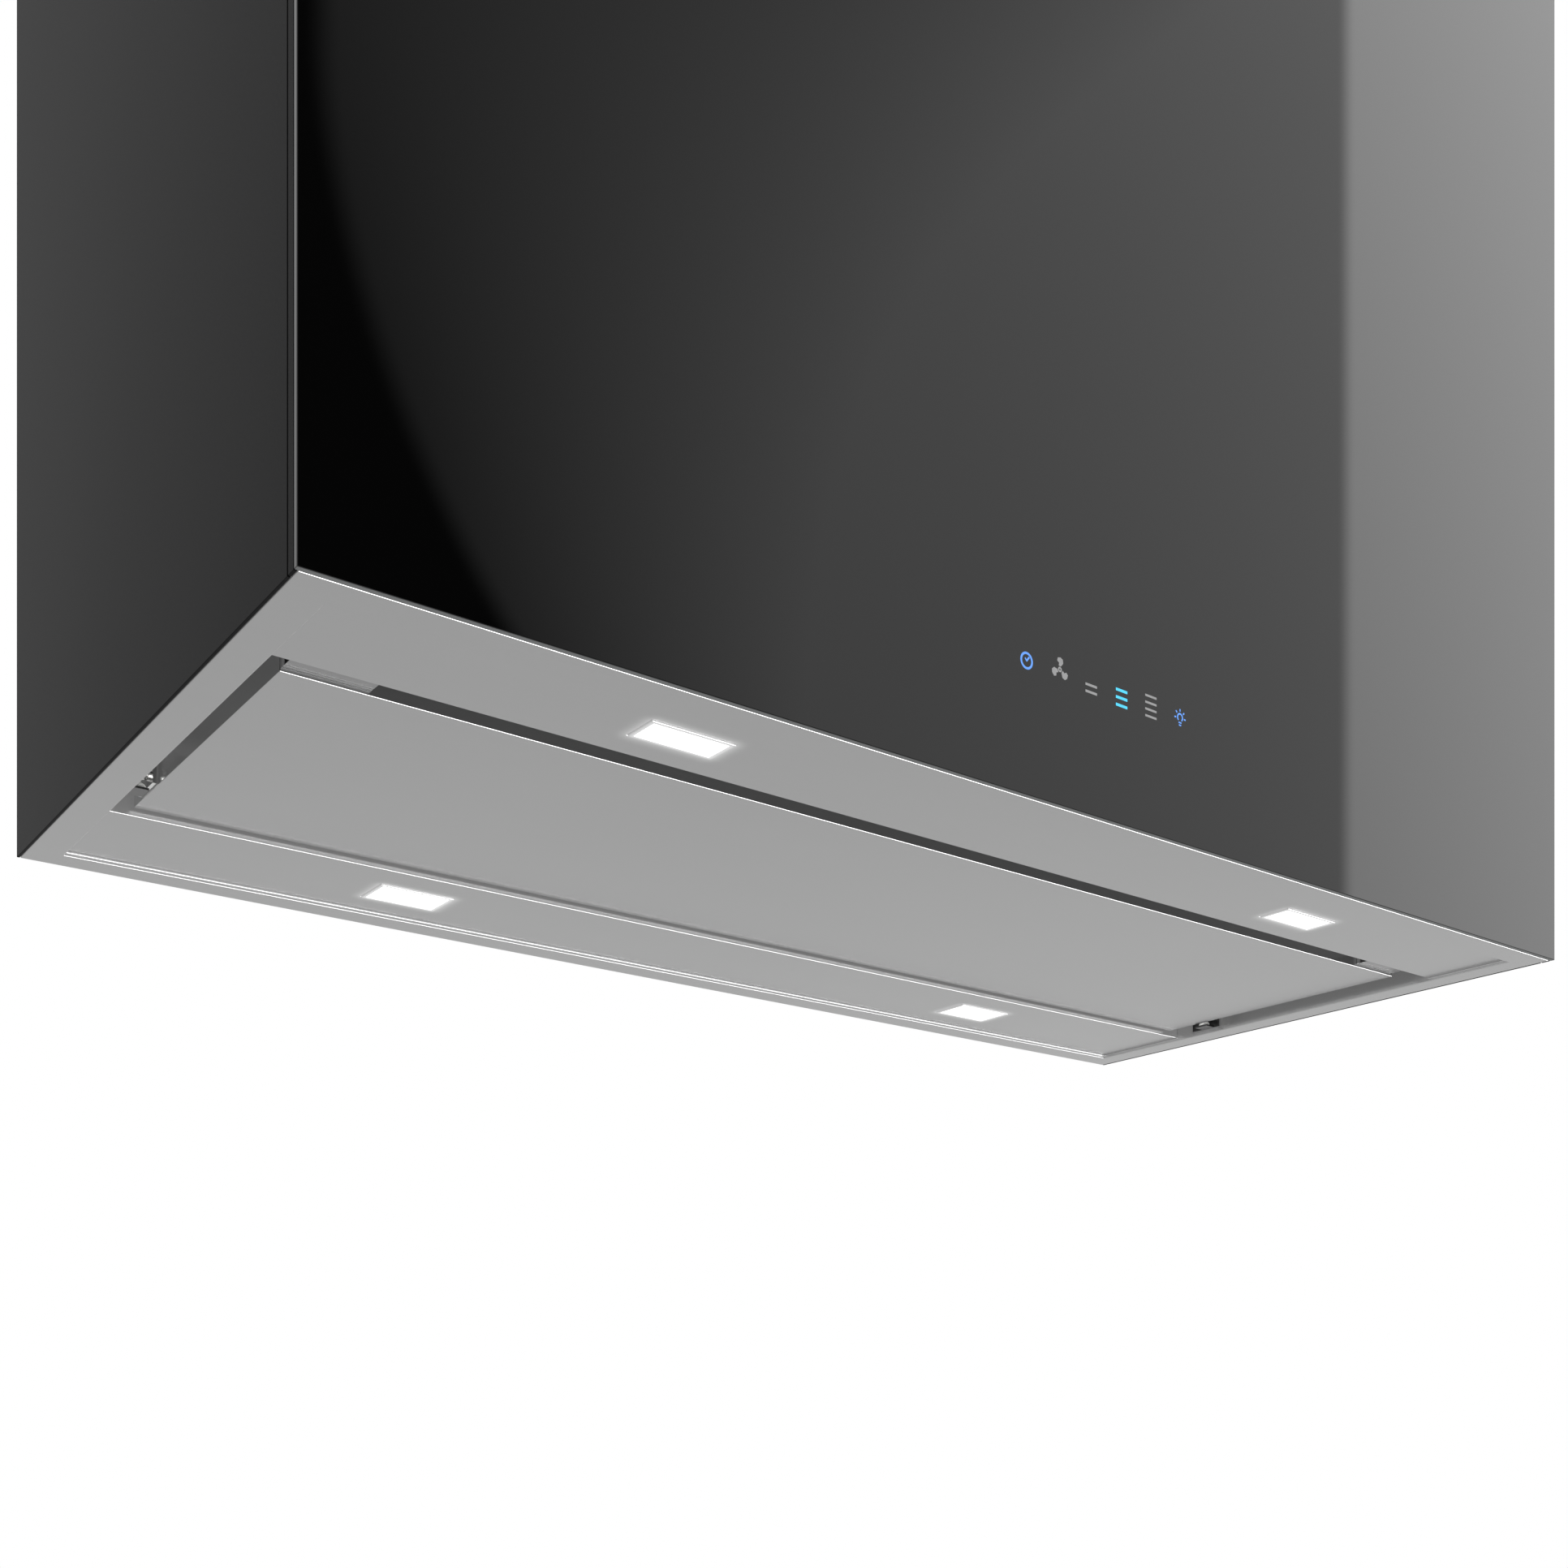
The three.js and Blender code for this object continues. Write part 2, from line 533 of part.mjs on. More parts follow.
function filters() {
  const boltZ = FILTER.rise + FILTER.thick / 2;
  const travelEnd = LATCH.travel + CLEAR;
  FILTERS.forEach(([name, x]) => {
    const half = FILTER_WIDTH / 2;
    const outer = box(x - half, x + half, FILTER_FRONT, FILTER_REAR, FILTER.rise, FILTER_TOP);
    const inner = box(
      x - half + FILTER.border, x + half - FILTER.border,
      FILTER_FRONT + FILTER.border, FILTER_REAR - FILTER.border, FILTER.rise - 1, FILTER_TOP + 1,
    );
    const open = FILTER_WIDTH - 2 * FILTER.border;
    const pitch = open / (FILTER_SLATS + 1);
    const slats = Array.from({ length: FILTER_SLATS }, (_, i) => {
      const at = x - open / 2 + (i + 1) * pitch;
      const low = i % 2 === 0;
      const z = low ? FILTER.rise + 1 : FILTER_TOP - 1 - FILTER_SLAT_SHEET;
      return box(
        at - pitch * FILTER_SLAT_REACH, at + pitch * FILTER_SLAT_REACH,
        FILTER_FRONT + 1, FILTER_REAR - 1, z, z + FILTER_SLAT_SHEET,
      );
    });
    const latchBox = box(
      x - LATCH.width / 2 - LATCH.wall, x + LATCH.width / 2 + LATCH.wall,
      FILTER_FRONT, FILTER_FRONT + LATCH.box, FILTER.rise, FILTER_TOP,
    );
    const grow = LATCH.width / 2 + CLEAR;
    const boltRoom = box(
      x - grow, x + grow, FILTER_FRONT - 1, FILTER_FRONT + LATCH.body - LATCH.bite + travelEnd,
      boltZ - LATCH.thick / 2 - CLEAR, boltZ + LATCH.thick / 2 + CLEAR,
    );
    const tabRoom = box(
      x - grow, x + grow, FILTER_FRONT + LATCH.body - LATCH.bite - LATCH.tab - CLEAR,
      FILTER_FRONT + LATCH.body - LATCH.bite + travelEnd, FILTER.rise - 1, boltZ,
    );
    place(`grease_filter_${name}`, cut(
      join(cut(outer, inner), ...slats, latchBox), boltRoom, tabRoom,
    ), COLOURS.aluminium);
    const tip = FILTER_FRONT - LATCH.bite;
    const back = tip + LATCH.body;
    const across = [x - LATCH.width / 2, x + LATCH.width / 2];
    place(`filter_latch_${name}`, join(
      box(...across, tip, back, boltZ - LATCH.thick / 2, boltZ + LATCH.thick / 2),
      box(...across, back - LATCH.tab, back, FILTER.rise - LATCH.drop, boltZ),
    ), COLOURS.blackPlastic);
  });
}

// ---- Blower ----------------------------------------------------------------------------------

// The inside line of the scroll, from the outlet's rear edge round to its front edge.
function scrollLine() {
  const line = [[FAN_Y + SCROLL_MAX, OUTLET_TOP]];
  for (let i = 0; i <= SCROLL.steps; i += 1) {
    const share = i / SCROLL.steps;
    const angle = -share * THREE.MathUtils.degToRad(SCROLL.sweep);
    const radius = THREE.MathUtils.lerp(SCROLL_MAX, SCROLL_MIN, share);
    line.push([FAN_Y + radius * Math.cos(angle), FAN_Z + radius * Math.sin(angle)]);
  }
  line.push([FAN_Y + OUTLET_FRONT, OUTLET_TOP]);
  return line;
}

// The same line moved outwards by a distance, point by point along the mean of its two normals.
function movedOut(line, distance) {
  const normal = (a, b) => new THREE.Vector2(b[1] - a[1], a[0] - b[0]).normalize();
  return line.map((point, i) => {
    const before = i > 0 ? normal(line[i - 1], point) : null;
    const after = i < line.length - 1 ? normal(point, line[i + 1]) : null;
    if (!before || !after) {
      const only = before || after;
      return [point[0] - (distance * Math.sign(only.x)) / Math.abs(only.x), point[1]];
    }
    const mean = before.clone().add(after).normalize();
    const reach = distance / mean.dot(before);
    return [point[0] - mean.x * reach, point[1] - mean.y * reach];
  });
}

function scroll() {
  const line = scrollLine();
  const outside = movedOut(line, SCROLL.sheet);
  const half = SCROLL.width / 2;
  const wrap = profile([...line, ...[...outside].reverse()], -half, half);
  place('scroll_wrap', wrap, COLOURS.galvanised);
  const inlet = crosswiseCylinder(INLET_RADIUS, -SCROLL.width, SCROLL.width, FAN_Y, FAN_Z, 48);
  SIDES.forEach(([name, side]) => {
    const near = half + CLEAR;
    const far = near + SCROLL.sheet;
    const x = [Math.min(side * near, side * far), Math.max(side * near, side * far)];
    place(`scroll_side_${name}`, cut(profile(outside, ...x), inlet), COLOURS.galvanised);
  });
}

function impeller() {
  const half = IMPELLER.width / 2;
  const blades = Array.from({ length: IMPELLER.blades }, (_, i) => {
    const blade = new THREE.BoxGeometry(
      IMPELLER.width - 1, IMPELLER.chord + IMPELLER.root, IMPELLER.blade,
    );
    blade.rotateX(THREE.MathUtils.degToRad(IMPELLER.pitch));
    blade.translate(0, IMPELLER.radius - IMPELLER.chord / 2, 0);
    blade.rotateX((i * 2 * Math.PI) / IMPELLER.blades);
    blade.translate(0, FAN_Y, FAN_Z);
    return solidOf(blade);
  });
  const tube = (x0, x1, outer, inner) => cut(
    crosswiseCylinder(outer, x0, x1, FAN_Y, FAN_Z, 44),
    crosswiseCylinder(inner, x0 - 1, x1 + 1, FAN_Y, FAN_Z, 44),
  );
  const bore = crosswiseCylinder(SHAFT_RADIUS + CLEAR, -half, half, FAN_Y, FAN_Z, 20);
  const hub = [-IMPELLER.disc / 2 - IMPELLER.hubBehind, IMPELLER.disc / 2 + IMPELLER.hubAhead];
  const wheel = join(
    ...blades,
    tube(-half, -half + IMPELLER.ring, IMPELLER.radius, BLADE_INNER - 2),
    tube(half - IMPELLER.ring, half, IMPELLER.radius, BLADE_INNER - 2),
    crosswiseCylinder(IMPELLER.radius, -IMPELLER.disc / 2, IMPELLER.disc / 2, FAN_Y, FAN_Z, 44),
    crosswiseCylinder(IMPELLER.hub, ...hub, FAN_Y, FAN_Z, 24),
  );
  place('impeller', cut(wheel, bore), COLOURS.galvanised);
  place('motor_shaft', crosswiseCylinder(
    SHAFT_RADIUS, MOTOR.front - MOTOR.socket + CLEAR, IMPELLER.disc / 2 + SHAFT_END, FAN_Y, FAN_Z, 20,
  ), COLOURS.stainless);
}

function motor() {
  const back = MOTOR.front - MOTOR.length;
  const socket = crosswiseCylinder(
    SHAFT_RADIUS + CLEAR, MOTOR.front - MOTOR.socket, MOTOR.front + 1, FAN_Y, FAN_Z, 20,
  );
  place('motor', cut(join(
    crosswiseCylinder(MOTOR.radius, back + MOTOR.taper, MOTOR.front - MOTOR.taper, FAN_Y, FAN_Z, 36),
    crosswiseCylinder(MOTOR.radius - MOTOR.shoulder, back, MOTOR.front, FAN_Y, FAN_Z, 36),
  ), socket), COLOURS.blackPaint);
  const plate = -(SCROLL.width / 2 + CLEAR + SCROLL.sheet + CLEAR);
  const far = plate - SPIDER.standoff;
  const reach = INLET_RADIUS + SPIDER.beyond;
  const near = MOTOR.radius + 1;
  const arms = Array.from({ length: SPIDER.arms }, (_, i) => {
    const bar = new THREE.BoxGeometry(SPIDER.sheet, reach - near, SPIDER.width);
    bar.translate(far + SPIDER.sheet / 2, (reach + near) / 2, 0);
    const foot = new THREE.BoxGeometry(plate - far, SPIDER.foot, SPIDER.width);
    foot.translate((plate + far) / 2, reach - SPIDER.foot / 2, 0);
    return [bar, foot].map((piece) => {
      piece.rotateX((i * 2 * Math.PI) / SPIDER.arms + Math.PI / 2);
      piece.translate(0, FAN_Y, FAN_Z);
      return solidOf(piece);
    });
  }).flat();
  const seat = MOTOR.radius + 2 * CLEAR;
  const clamp = cut(
    crosswiseCylinder(MOTOR.radius + SPIDER.sheet, far, far + SPIDER.clamp, FAN_Y, FAN_Z, 36),
    crosswiseCylinder(seat, far - 1, far + SPIDER.clamp + 1, FAN_Y, FAN_Z, 36),
  );
  const bore = crosswiseCylinder(seat, far - 1, plate + 1, FAN_Y, FAN_Z, 36);
  place('motor_bracket', cut(join(clamp, ...arms), bore), COLOURS.galvanised);
}

// ---- Duct collar and damper --------------------------------------------------------------------

function ductCollar() {
  const foot = HEIGHT + CLEAR;
  const plate = cut(
    band(COLLAR_PLATE, DUCT_Y - COLLAR_PLATE, DUCT_Y + COLLAR_PLATE, foot, foot + COLLAR.sheet),
    uprightCylinder(COLLAR.radius - COLLAR.wall / 2, 0, DUCT_Y, foot - 1, foot + COLLAR.sheet + 1, 64),
  );
  const tube = turned([
    [DUCT_BORE, foot], [COLLAR.radius, foot], [COLLAR.radius, foot + COLLAR.height],
    [DUCT_BORE, foot + COLLAR.height],
  ], 0, DUCT_Y, 64);
  const under = DAMPER_Z - DAMPER.sheet / 2 - CLEAR;
  const stops = [-1, 1].map((way) => {
    const near = DUCT_Y + way * (DAMPER_RADIUS - 4);
    const far = DUCT_Y + way * (DUCT_BORE + 0.8);
    return box(-5, 5, Math.min(near, far), Math.max(near, far), under - 1.5, under);
  });
  const holes = collarScrewPlaces().map(
    ([x, y]) => uprightCylinder(SCREW_HOLE, x, y, foot - 1, foot + COLLAR.sheet + 1, 12),
  );
  place('duct_collar', cut(join(plate, tube, ...stops), ...holes), COLOURS.galvanised);
  collarScrewPlaces().forEach(([x, y], i) => {
    const seat = foot + COLLAR.sheet + CLEAR;
    place(`collar_screw_${i + 1}`, join(
      uprightCylinder(SCREW.shank, x, y, seat - SCREW.length, seat + 1, 12),
      uprightCylinder(SCREW.head, x, y, seat, seat + SCREW.headHeight, 16),
    ), COLOURS.galvanised);
  });
}

// Two half discs on one rod; each has two knuckles, which take turns along the rod.
function damper() {
  const half = DAMPER.sheet / 2;
  const reach = DAMPER_RADIUS - 11;
  const lengths = reach / 2;
  place('damper_rod', crosswiseCylinder(
    DAMPER.rod, -DUCT_BORE + 3 * CLEAR, DUCT_BORE - 3 * CLEAR, DUCT_Y, DAMPER_Z, 16,
  ), COLOURS.stainless);
  [['front', -1], ['rear', 1]].forEach(([name, way]) => {
    const disc = uprightCylinder(DAMPER_RADIUS, 0, DUCT_Y, DAMPER_Z - half, DAMPER_Z + half, 48);
    const edge = DUCT_Y + way * DAMPER.web;
    const away = edge - way * 2 * DAMPER_RADIUS;
    const leaf = cut(disc, band(
      DAMPER_RADIUS + 1, Math.min(edge, away), Math.max(edge, away), DAMPER_Z - 2, DAMPER_Z + 2,
    ));
    const starts = way < 0 ? [-reach, 0] : [-lengths, lengths];
    const knuckles = starts.map((start) => {
      const ends = [start + CLEAR, start + lengths - CLEAR];
      const web = DUCT_Y + way * (DAMPER.web + 1);
      return join(
        crosswiseCylinder(DAMPER.knuckle, ...ends, DUCT_Y, DAMPER_Z, 20),
        box(...ends, Math.min(DUCT_Y, web), Math.max(DUCT_Y, web), DAMPER_Z - half, DAMPER_Z + half),
      );
    });
    const bore = crosswiseCylinder(DAMPER.rod + CLEAR, -DAMPER_RADIUS, DAMPER_RADIUS, DUCT_Y, DAMPER_Z, 20);
    place(`damper_flap_${name}`, cut(join(leaf, ...knuckles), bore), COLOURS.greyPlastic);
  });
}

// ---- Controls and wiring -----------------------------------------------------------------------

function touchUnit() {
  const low = TOUCH.rise - TOUCH.height / 2;
  const board = band(
    TOUCH.width / 2, CARRIER_FRONT, CARRIER_FRONT + TOUCH.board, low, low + TOUCH.height,
  );
  const housing = band(
    TOUCH.width / 2 - TOUCH.margin, CARRIER_FRONT, CARRIER_FRONT + TOUCH.depth,
    low + TOUCH.margin, low + TOUCH.height - TOUCH.margin,
  );
  place('touch_board', join(board, housing), COLOURS.circuit);
}

function controlBox() {
  const x = [BOX_X, BOX_X + BOX.width];
  const back = -BOX.fromBack;
  const front = back - BOX.depth;
  const z = [BOX_RISE, BOX_RISE + BOX.height];
  const w = BOX.wall;
  place('control_box', cut(
    box(...x, front, back, ...z),
    box(x[0] + w, x[1] - w, front - 1, back - w, z[0] + w, z[1] - w),
  ), COLOURS.blackPlastic);
  place('control_box_lid', box(...x, front - CLEAR - w, front - CLEAR, ...z), COLOURS.greyPlastic);
  const mid = (x[0] + x[1]) / 2;
  const deep = (front + back) / 2;
  place('motor_capacitor', crosswiseCylinder(
    CAPACITOR.radius, mid - CAPACITOR.length / 2, mid + CAPACITOR.length / 2, deep,
    z[0] + w + CLEAR + CAPACITOR.radius, 24,
  ), COLOURS.aluminium);
}

function cableGland() {
  const seat = HEIGHT + CLEAR;
  const middle = (GLAND.bore + GLAND.thread) / 2;
  const plate = cut(
    box(
      GLAND_X - GLAND.plate, GLAND_X + GLAND.plate,
      GLAND_Y - GLAND.plate, GLAND_Y + GLAND.plate, seat, seat + GLAND.sheet,
    ),
    uprightCylinder(middle, GLAND_X, GLAND_Y, seat - 1, seat + GLAND.sheet + 1, 32),
  );
  const body = turned([
    [GLAND.bore, seat - GLAND.below], [GLAND.thread, seat - GLAND.below], [GLAND.thread, seat],
    [GLAND.collar, seat], [GLAND.collar, seat + GLAND.collarTop], [GLAND.nut, seat + GLAND.collarTop + 1],
    [GLAND.nut, seat + GLAND.nutTop], [GLAND.bore + 2, seat + GLAND.top], [GLAND.bore, seat + GLAND.top],
  ], GLAND_X, GLAND_Y, 32);
  place('cable_gland', join(plate, body), COLOURS.blackPlastic);
}

// ---- Wall fixing ---------------------------------------------------------------------------------

// A stepped rail screwed to the wall, and the hook inside the back panel that drops behind its lip.
function wallFixing() {
  const { sheet, below, step, lip, offset } = WALL_RAIL;
  const half = WALL_RAIL.width / 2;
  const stepZ = RAIL_RISE + step;
  const screwHoles = [-1, 0.34, -0.34, 1].map((share) => {
    const hole = new THREE.CylinderGeometry(3, 3, 4 * sheet, 16);
    hole.translate(share * (half - 30), 0, RAIL_RISE);
    return solidOf(hole);
  });
  place('wall_rail', cut(join(
    band(half, -sheet, 0, RAIL_RISE - below, stepZ),
    band(half, -offset, 0, stepZ - sheet, stepZ),
    band(half, -offset, -offset + sheet, stepZ - sheet, stepZ + lip),
  ), ...screwHoles), COLOURS.galvanised);
  const hookHalf = half - HOOK.shorter / 2;
  const seat = stepZ + CLEAR;
  const front = -offset + sheet + CLEAR; // behind the rail's lip
  const plateTop = stepZ + lip + WINDOW.margin + HOOK.reach;
  const plateBack = -BACK_SHEET - CLEAR;
  place('hang_bracket', join(
    band(hookHalf, front, front + HOOK.sheet, seat, stepZ + lip + 2),
    band(hookHalf, front, plateBack, stepZ + lip + 0.5, stepZ + lip + 0.5 + HOOK.sheet),
    band(hookHalf, plateBack - HOOK.sheet, plateBack, stepZ + lip + 0.5, plateTop),
  ), COLOURS.galvanised);
}

frontGlass();
frontCarrier();
sidePanels();
backPanel();
topPanel();
canopyTray();
lamps();
suctionPanel();
panelHinges();
magnets();
filterRails();
filters();
scroll();
impeller();
motor();
ductCollar();
damper();
touchUnit();
controlBox();
cableGland();
wallFixing();

export default root;
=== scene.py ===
"""Looks, small fittings, light and camera for a wall-hung range hood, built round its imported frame."""

import math

import bmesh
import bpy
from mathutils import Matrix, Vector


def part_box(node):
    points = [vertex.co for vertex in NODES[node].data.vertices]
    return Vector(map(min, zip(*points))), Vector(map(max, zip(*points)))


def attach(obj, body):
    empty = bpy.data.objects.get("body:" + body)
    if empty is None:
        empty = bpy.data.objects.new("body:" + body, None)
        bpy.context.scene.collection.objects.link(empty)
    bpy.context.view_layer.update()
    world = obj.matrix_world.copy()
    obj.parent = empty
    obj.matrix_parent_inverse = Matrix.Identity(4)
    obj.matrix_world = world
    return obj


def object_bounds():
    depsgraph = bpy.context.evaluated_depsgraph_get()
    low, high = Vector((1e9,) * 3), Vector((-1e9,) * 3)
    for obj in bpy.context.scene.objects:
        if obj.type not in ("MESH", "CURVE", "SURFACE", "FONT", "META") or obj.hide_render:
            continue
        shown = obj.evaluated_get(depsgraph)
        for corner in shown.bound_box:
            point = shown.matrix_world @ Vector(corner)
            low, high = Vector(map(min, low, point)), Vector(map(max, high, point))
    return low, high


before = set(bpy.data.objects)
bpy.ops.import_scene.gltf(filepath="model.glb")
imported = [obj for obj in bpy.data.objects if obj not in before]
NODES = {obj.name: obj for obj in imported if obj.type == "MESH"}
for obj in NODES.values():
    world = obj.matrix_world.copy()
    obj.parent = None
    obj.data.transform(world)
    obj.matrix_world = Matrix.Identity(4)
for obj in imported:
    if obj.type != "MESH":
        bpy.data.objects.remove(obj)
CAD_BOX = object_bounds()
LOW, HIGH = Vector(CAD_BOX[0]), Vector(CAD_BOX[1])
MM = 0.001
DEGREES = math.degrees(1)

bl_info = {
    "name": "Box Range Hood",
    "version": (1, 0, 0),
    "blender": (4, 5, 0),
    "location": "3D View > Sidebar > Hood",
    "description": "Finishes, fittings, light and camera for a wall-hung range hood",
    "category": "Object",
}


# ---- Node trees -----------------------------------------------------------------------------


class Socket:
    """One output in a node tree. Arithmetic on it adds Math nodes."""

    def __init__(self, sheet, link):
        self.sheet = sheet
        self.link = link

    def math(self, operation, *values):
        return self.sheet.add("ShaderNodeMath", {"operation": operation}, dict(enumerate(values)))

    def __add__(self, other):
        return self.math("ADD", self, other)

    def __sub__(self, other):
        return self.math("SUBTRACT", self, other)

    def __rsub__(self, other):
        return self.math("SUBTRACT", other, self)

    def __mul__(self, other):
        return self.math("MULTIPLY", self, other)

    def __truediv__(self, other):
        return self.math("DIVIDE", self, other)

    def __pow__(self, other):
        return self.math("POWER", self, other)

    def __neg__(self):
        return self.math("MULTIPLY", self, -1.0)

    def __abs__(self):
        return self.math("ABSOLUTE", self)

    def __lt__(self, other):
        return self.math("LESS_THAN", self, other)

    __radd__ = __add__
    __rmul__ = __mul__

    def at_least(self, other):
        return self.math("MAXIMUM", self, other)

    def at_most(self, other):
        return self.math("MINIMUM", self, other)

    def wave(self):
        return self.math("SINE", self)

    def fade(self, start, end):
        """0 before start, 1 after end and smooth between them."""
        settings = {"interpolation_type": "SMOOTHSTEP"}
        values = {"Value": self, "From Min": start, "From Max": end}
        return self.sheet.add("ShaderNodeMapRange", settings, values)


class NodeSheet:
    """A node tree being drawn."""

    def __init__(self, tree):
        self.tree = tree
        tree.nodes.clear()

    def add(self, kind, settings=None, values=None, output=0):
        """Adds a node, sets its settings, then its sockets' values or links."""
        node = self.tree.nodes.new(kind)
        for name, setting in (settings or {}).items():
            if name == "stops":
                self.set_stops(node.color_ramp, setting)
            else:
                setattr(node, name, setting)
        for name, value in (values or {}).items():
            if isinstance(value, Socket):
                self.tree.links.new(value.link, node.inputs[name])
            else:
                node.inputs[name].default_value = value
        return Socket(self, node.outputs[output]) if node.outputs else None

    @staticmethod
    def set_stops(ramp, stops):
        while len(ramp.elements) < len(stops):
            ramp.elements.new(1.0)
        for element, (position, colour) in zip(ramp.elements, stops):
            element.position = position
            element.color = colour

    def split(self, vector):
        """The three parts of a vector."""
        first = self.add("ShaderNodeSeparateXYZ", None, {"Vector": vector})
        outputs = first.link.node.outputs
        return [Socket(self, outputs[i]) for i in range(3)]

    def mix(self, factor, first, second):
        """One colour over another."""
        values = {0: factor, 6: first, 7: second}
        return self.add("ShaderNodeMix", {"data_type": "RGBA"}, values, 2)

    def shaded(self, colour, factor):
        """A colour made lighter or darker by a factor."""
        grey = self.add("ShaderNodeCombineXYZ", None, {"X": factor, "Y": factor, "Z": factor})
        return self.add("ShaderNodeVectorMath", {"operation": "MULTIPLY"}, {0: colour[:3], 1: grey})


class Finish(NodeSheet):
    """A surface finish: a material with one Principled shader."""

    def __init__(self, name):
        self.material = bpy.data.materials.new(name)
        self.material.use_nodes = True
        super().__init__(self.material.node_tree)
        self.place = self.add("ShaderNodeTexCoord", output=3)

    def stretched(self, x, y, z):
        """Where on the object, with each axis scaled."""
        return self.add("ShaderNodeVectorMath", {"operation": "MULTIPLY"}, {0: self.place, 1: (x, y, z)})

    def noise(self, scale, detail=2.0, where=None):
        values = {"Vector": where or self.place, "Scale": scale, "Detail": detail}
        return self.add("ShaderNodeTexNoise", None, values)

    def bump(self, height, strength, distance):
        values = {"Height": height, "Strength": strength, "Distance": distance}
        return self.add("ShaderNodeBump", None, values)

    def done(self, **values):
        """Closes the material with a Principled shader; names are its sockets with _ for a space."""
        named = {name.replace("_", " "): value for name, value in values.items()}
        shader = self.add("ShaderNodeBsdfPrincipled", None, named)
        self.add("ShaderNodeOutputMaterial", None, {"Surface": shader})
        return self.material


def rgba(colour):
    return (*colour[:3], 1.0)


# ---- Finishes -------------------------------------------------------------------------------


def drawn_grain(finish, along, across):
    """Long fine lines along X, between -1 and 1."""
    long_lines = finish.noise(1.0, 3.0, finish.stretched(along, across, across))
    fine_lines = finish.noise(1.0, 2.0, finish.stretched(along * 3.0, across * 3.5, across * 3.5))
    return (long_lines + fine_lines - 1.0) * 1.4


def brushed_steel(name, colour, painted_glow=None):
    """Stainless sheet with its grain along X; painted_glow paints light onto it as emission, in place of
    light that reaches it from close by.
    """
    finish = Finish(name)
    grain = drawn_grain(finish, 9.0, 900.0)
    cloud = finish.noise(2.6, 3.0) - 0.5
    tone = 1.0 + grain * 0.03 + cloud * 0.07
    values = {
        "Base_Color": finish.shaded(colour, tone),
        "Metallic": 1.0,
        "Roughness": 0.21 + grain * 0.03 + cloud * 0.03,
        "Normal": finish.bump(grain, 0.05, 0.00006),
    }
    # Painted light: an emission glow on the steel, not light cast by any lamp.
    if painted_glow:
        values["Emission_Color"] = finish.shaded((1.0, 1.0, 1.0), painted_glow(finish))
        values["Emission_Strength"] = 1.0
    return finish.done(**values)


def painted_glass(name, colour, edge_colour):
    """Black-backed glass: a polished face with faint wipe marks, and ground edges."""
    finish = Finish(name)
    normal = finish.add("ShaderNodeNewGeometry", output=1)
    ground = abs(finish.split(normal)[2]).fade(0.75, 0.95)
    wipes = finish.noise(1.0, 4.0, finish.stretched(5.0, 5.0, 14.0)) - 0.5
    dust = finish.noise(900.0, 1.0).fade(0.74, 0.80)
    speckle = finish.noise(2400.0, 1.0) - 0.5
    face = finish.shaded(colour, 1.0 + wipes * 0.25 + dust * 0.6)
    edge = finish.shaded(edge_colour, 1.0 + speckle * 0.5)
    return finish.done(
        Base_Color=finish.mix(ground, face, edge),
        Roughness=0.012 + wipes.at_least(0.0) * 0.02 + dust * 0.05 + ground * 0.5,
        Normal=finish.bump(speckle * ground, 0.4, 0.0001),
        IOR=1.5,
    )


def powder_coat(name, colour):
    """Dark fine-textured paint: a dull body under a thin broken gloss, so it never mirrors brightly."""
    finish = Finish(name)
    peel = finish.noise(1100.0, 2.0) - 0.5
    fleck = finish.noise(3200.0, 1.0) - 0.5
    cloud = finish.noise(3.0, 2.0) - 0.5
    return finish.done(
        Base_Color=finish.shaded(colour, 1.0 + fleck * 0.7 + cloud * 0.3),
        Roughness=0.5 + peel * 0.1,
        Specular_IOR_Level=0.0,
        Coat_Weight=0.16 * (1.0 + peel * 0.5 + fleck * 0.25 + cloud * 0.08),
        Coat_Roughness=0.14,
        Coat_IOR=1.5,
        Normal=finish.bump(peel + fleck * 0.4, 0.16, 0.00012),
    )


CRYSTALS_PER_METRE = 95.0
CRYSTAL_DRIFT = 0.006


def zinc_sheet(name, colour):
    """Hot-dipped sheet: flat crystals that each catch the light a little differently."""
    finish = Finish(name)
    drift = finish.noise(60.0, 2.0) - 0.5
    shift = finish.shaded((CRYSTAL_DRIFT, CRYSTAL_DRIFT, CRYSTAL_DRIFT), drift)
    bent = finish.add("ShaderNodeVectorMath", {"operation": "ADD"}, {0: finish.place, 1: shift})
    cells = {"Vector": bent, "Scale": CRYSTALS_PER_METRE, "Randomness": 1.0}
    crystal = finish.add("ShaderNodeTexVoronoi", None, cells, 1)
    shade, lean, third = finish.split(crystal)
    border = finish.add("ShaderNodeTexVoronoi", {"feature": "DISTANCE_TO_EDGE"}, cells)
    seam = 1.0 - border.fade(0.0, 0.06)
    roll = finish.noise(1.0, 2.0, finish.stretched(40.0, 40.0, 2.0)) - 0.5
    stain = finish.noise(4.0, 3.0) - 0.5
    tone = 0.86 + shade * 0.22 - seam * 0.07 + roll * 0.05 + stain * 0.12
    return finish.done(
        Base_Color=finish.shaded(colour, tone),
        Metallic=0.92,
        Roughness=0.34 + lean * 0.18 + stain * 0.06,
        Normal=finish.bump(third * 0.5 - seam * 0.3, 0.18, 0.0002),
    )


def turned_metal(name, colour, roughness):
    """Machined or plated metal with fine tool lines."""
    finish = Finish(name)
    lines = finish.noise(1.0, 2.0, finish.stretched(2600.0, 300.0, 300.0)) - 0.5
    cloud = finish.noise(45.0, 3.0) - 0.5
    return finish.done(
        Base_Color=finish.shaded(colour, 1.0 + lines * 0.08 + cloud * 0.08),
        Metallic=1.0,
        Roughness=roughness + lines * 0.08 + cloud * 0.06,
        Normal=finish.bump(lines, 0.08, 0.00005),
    )


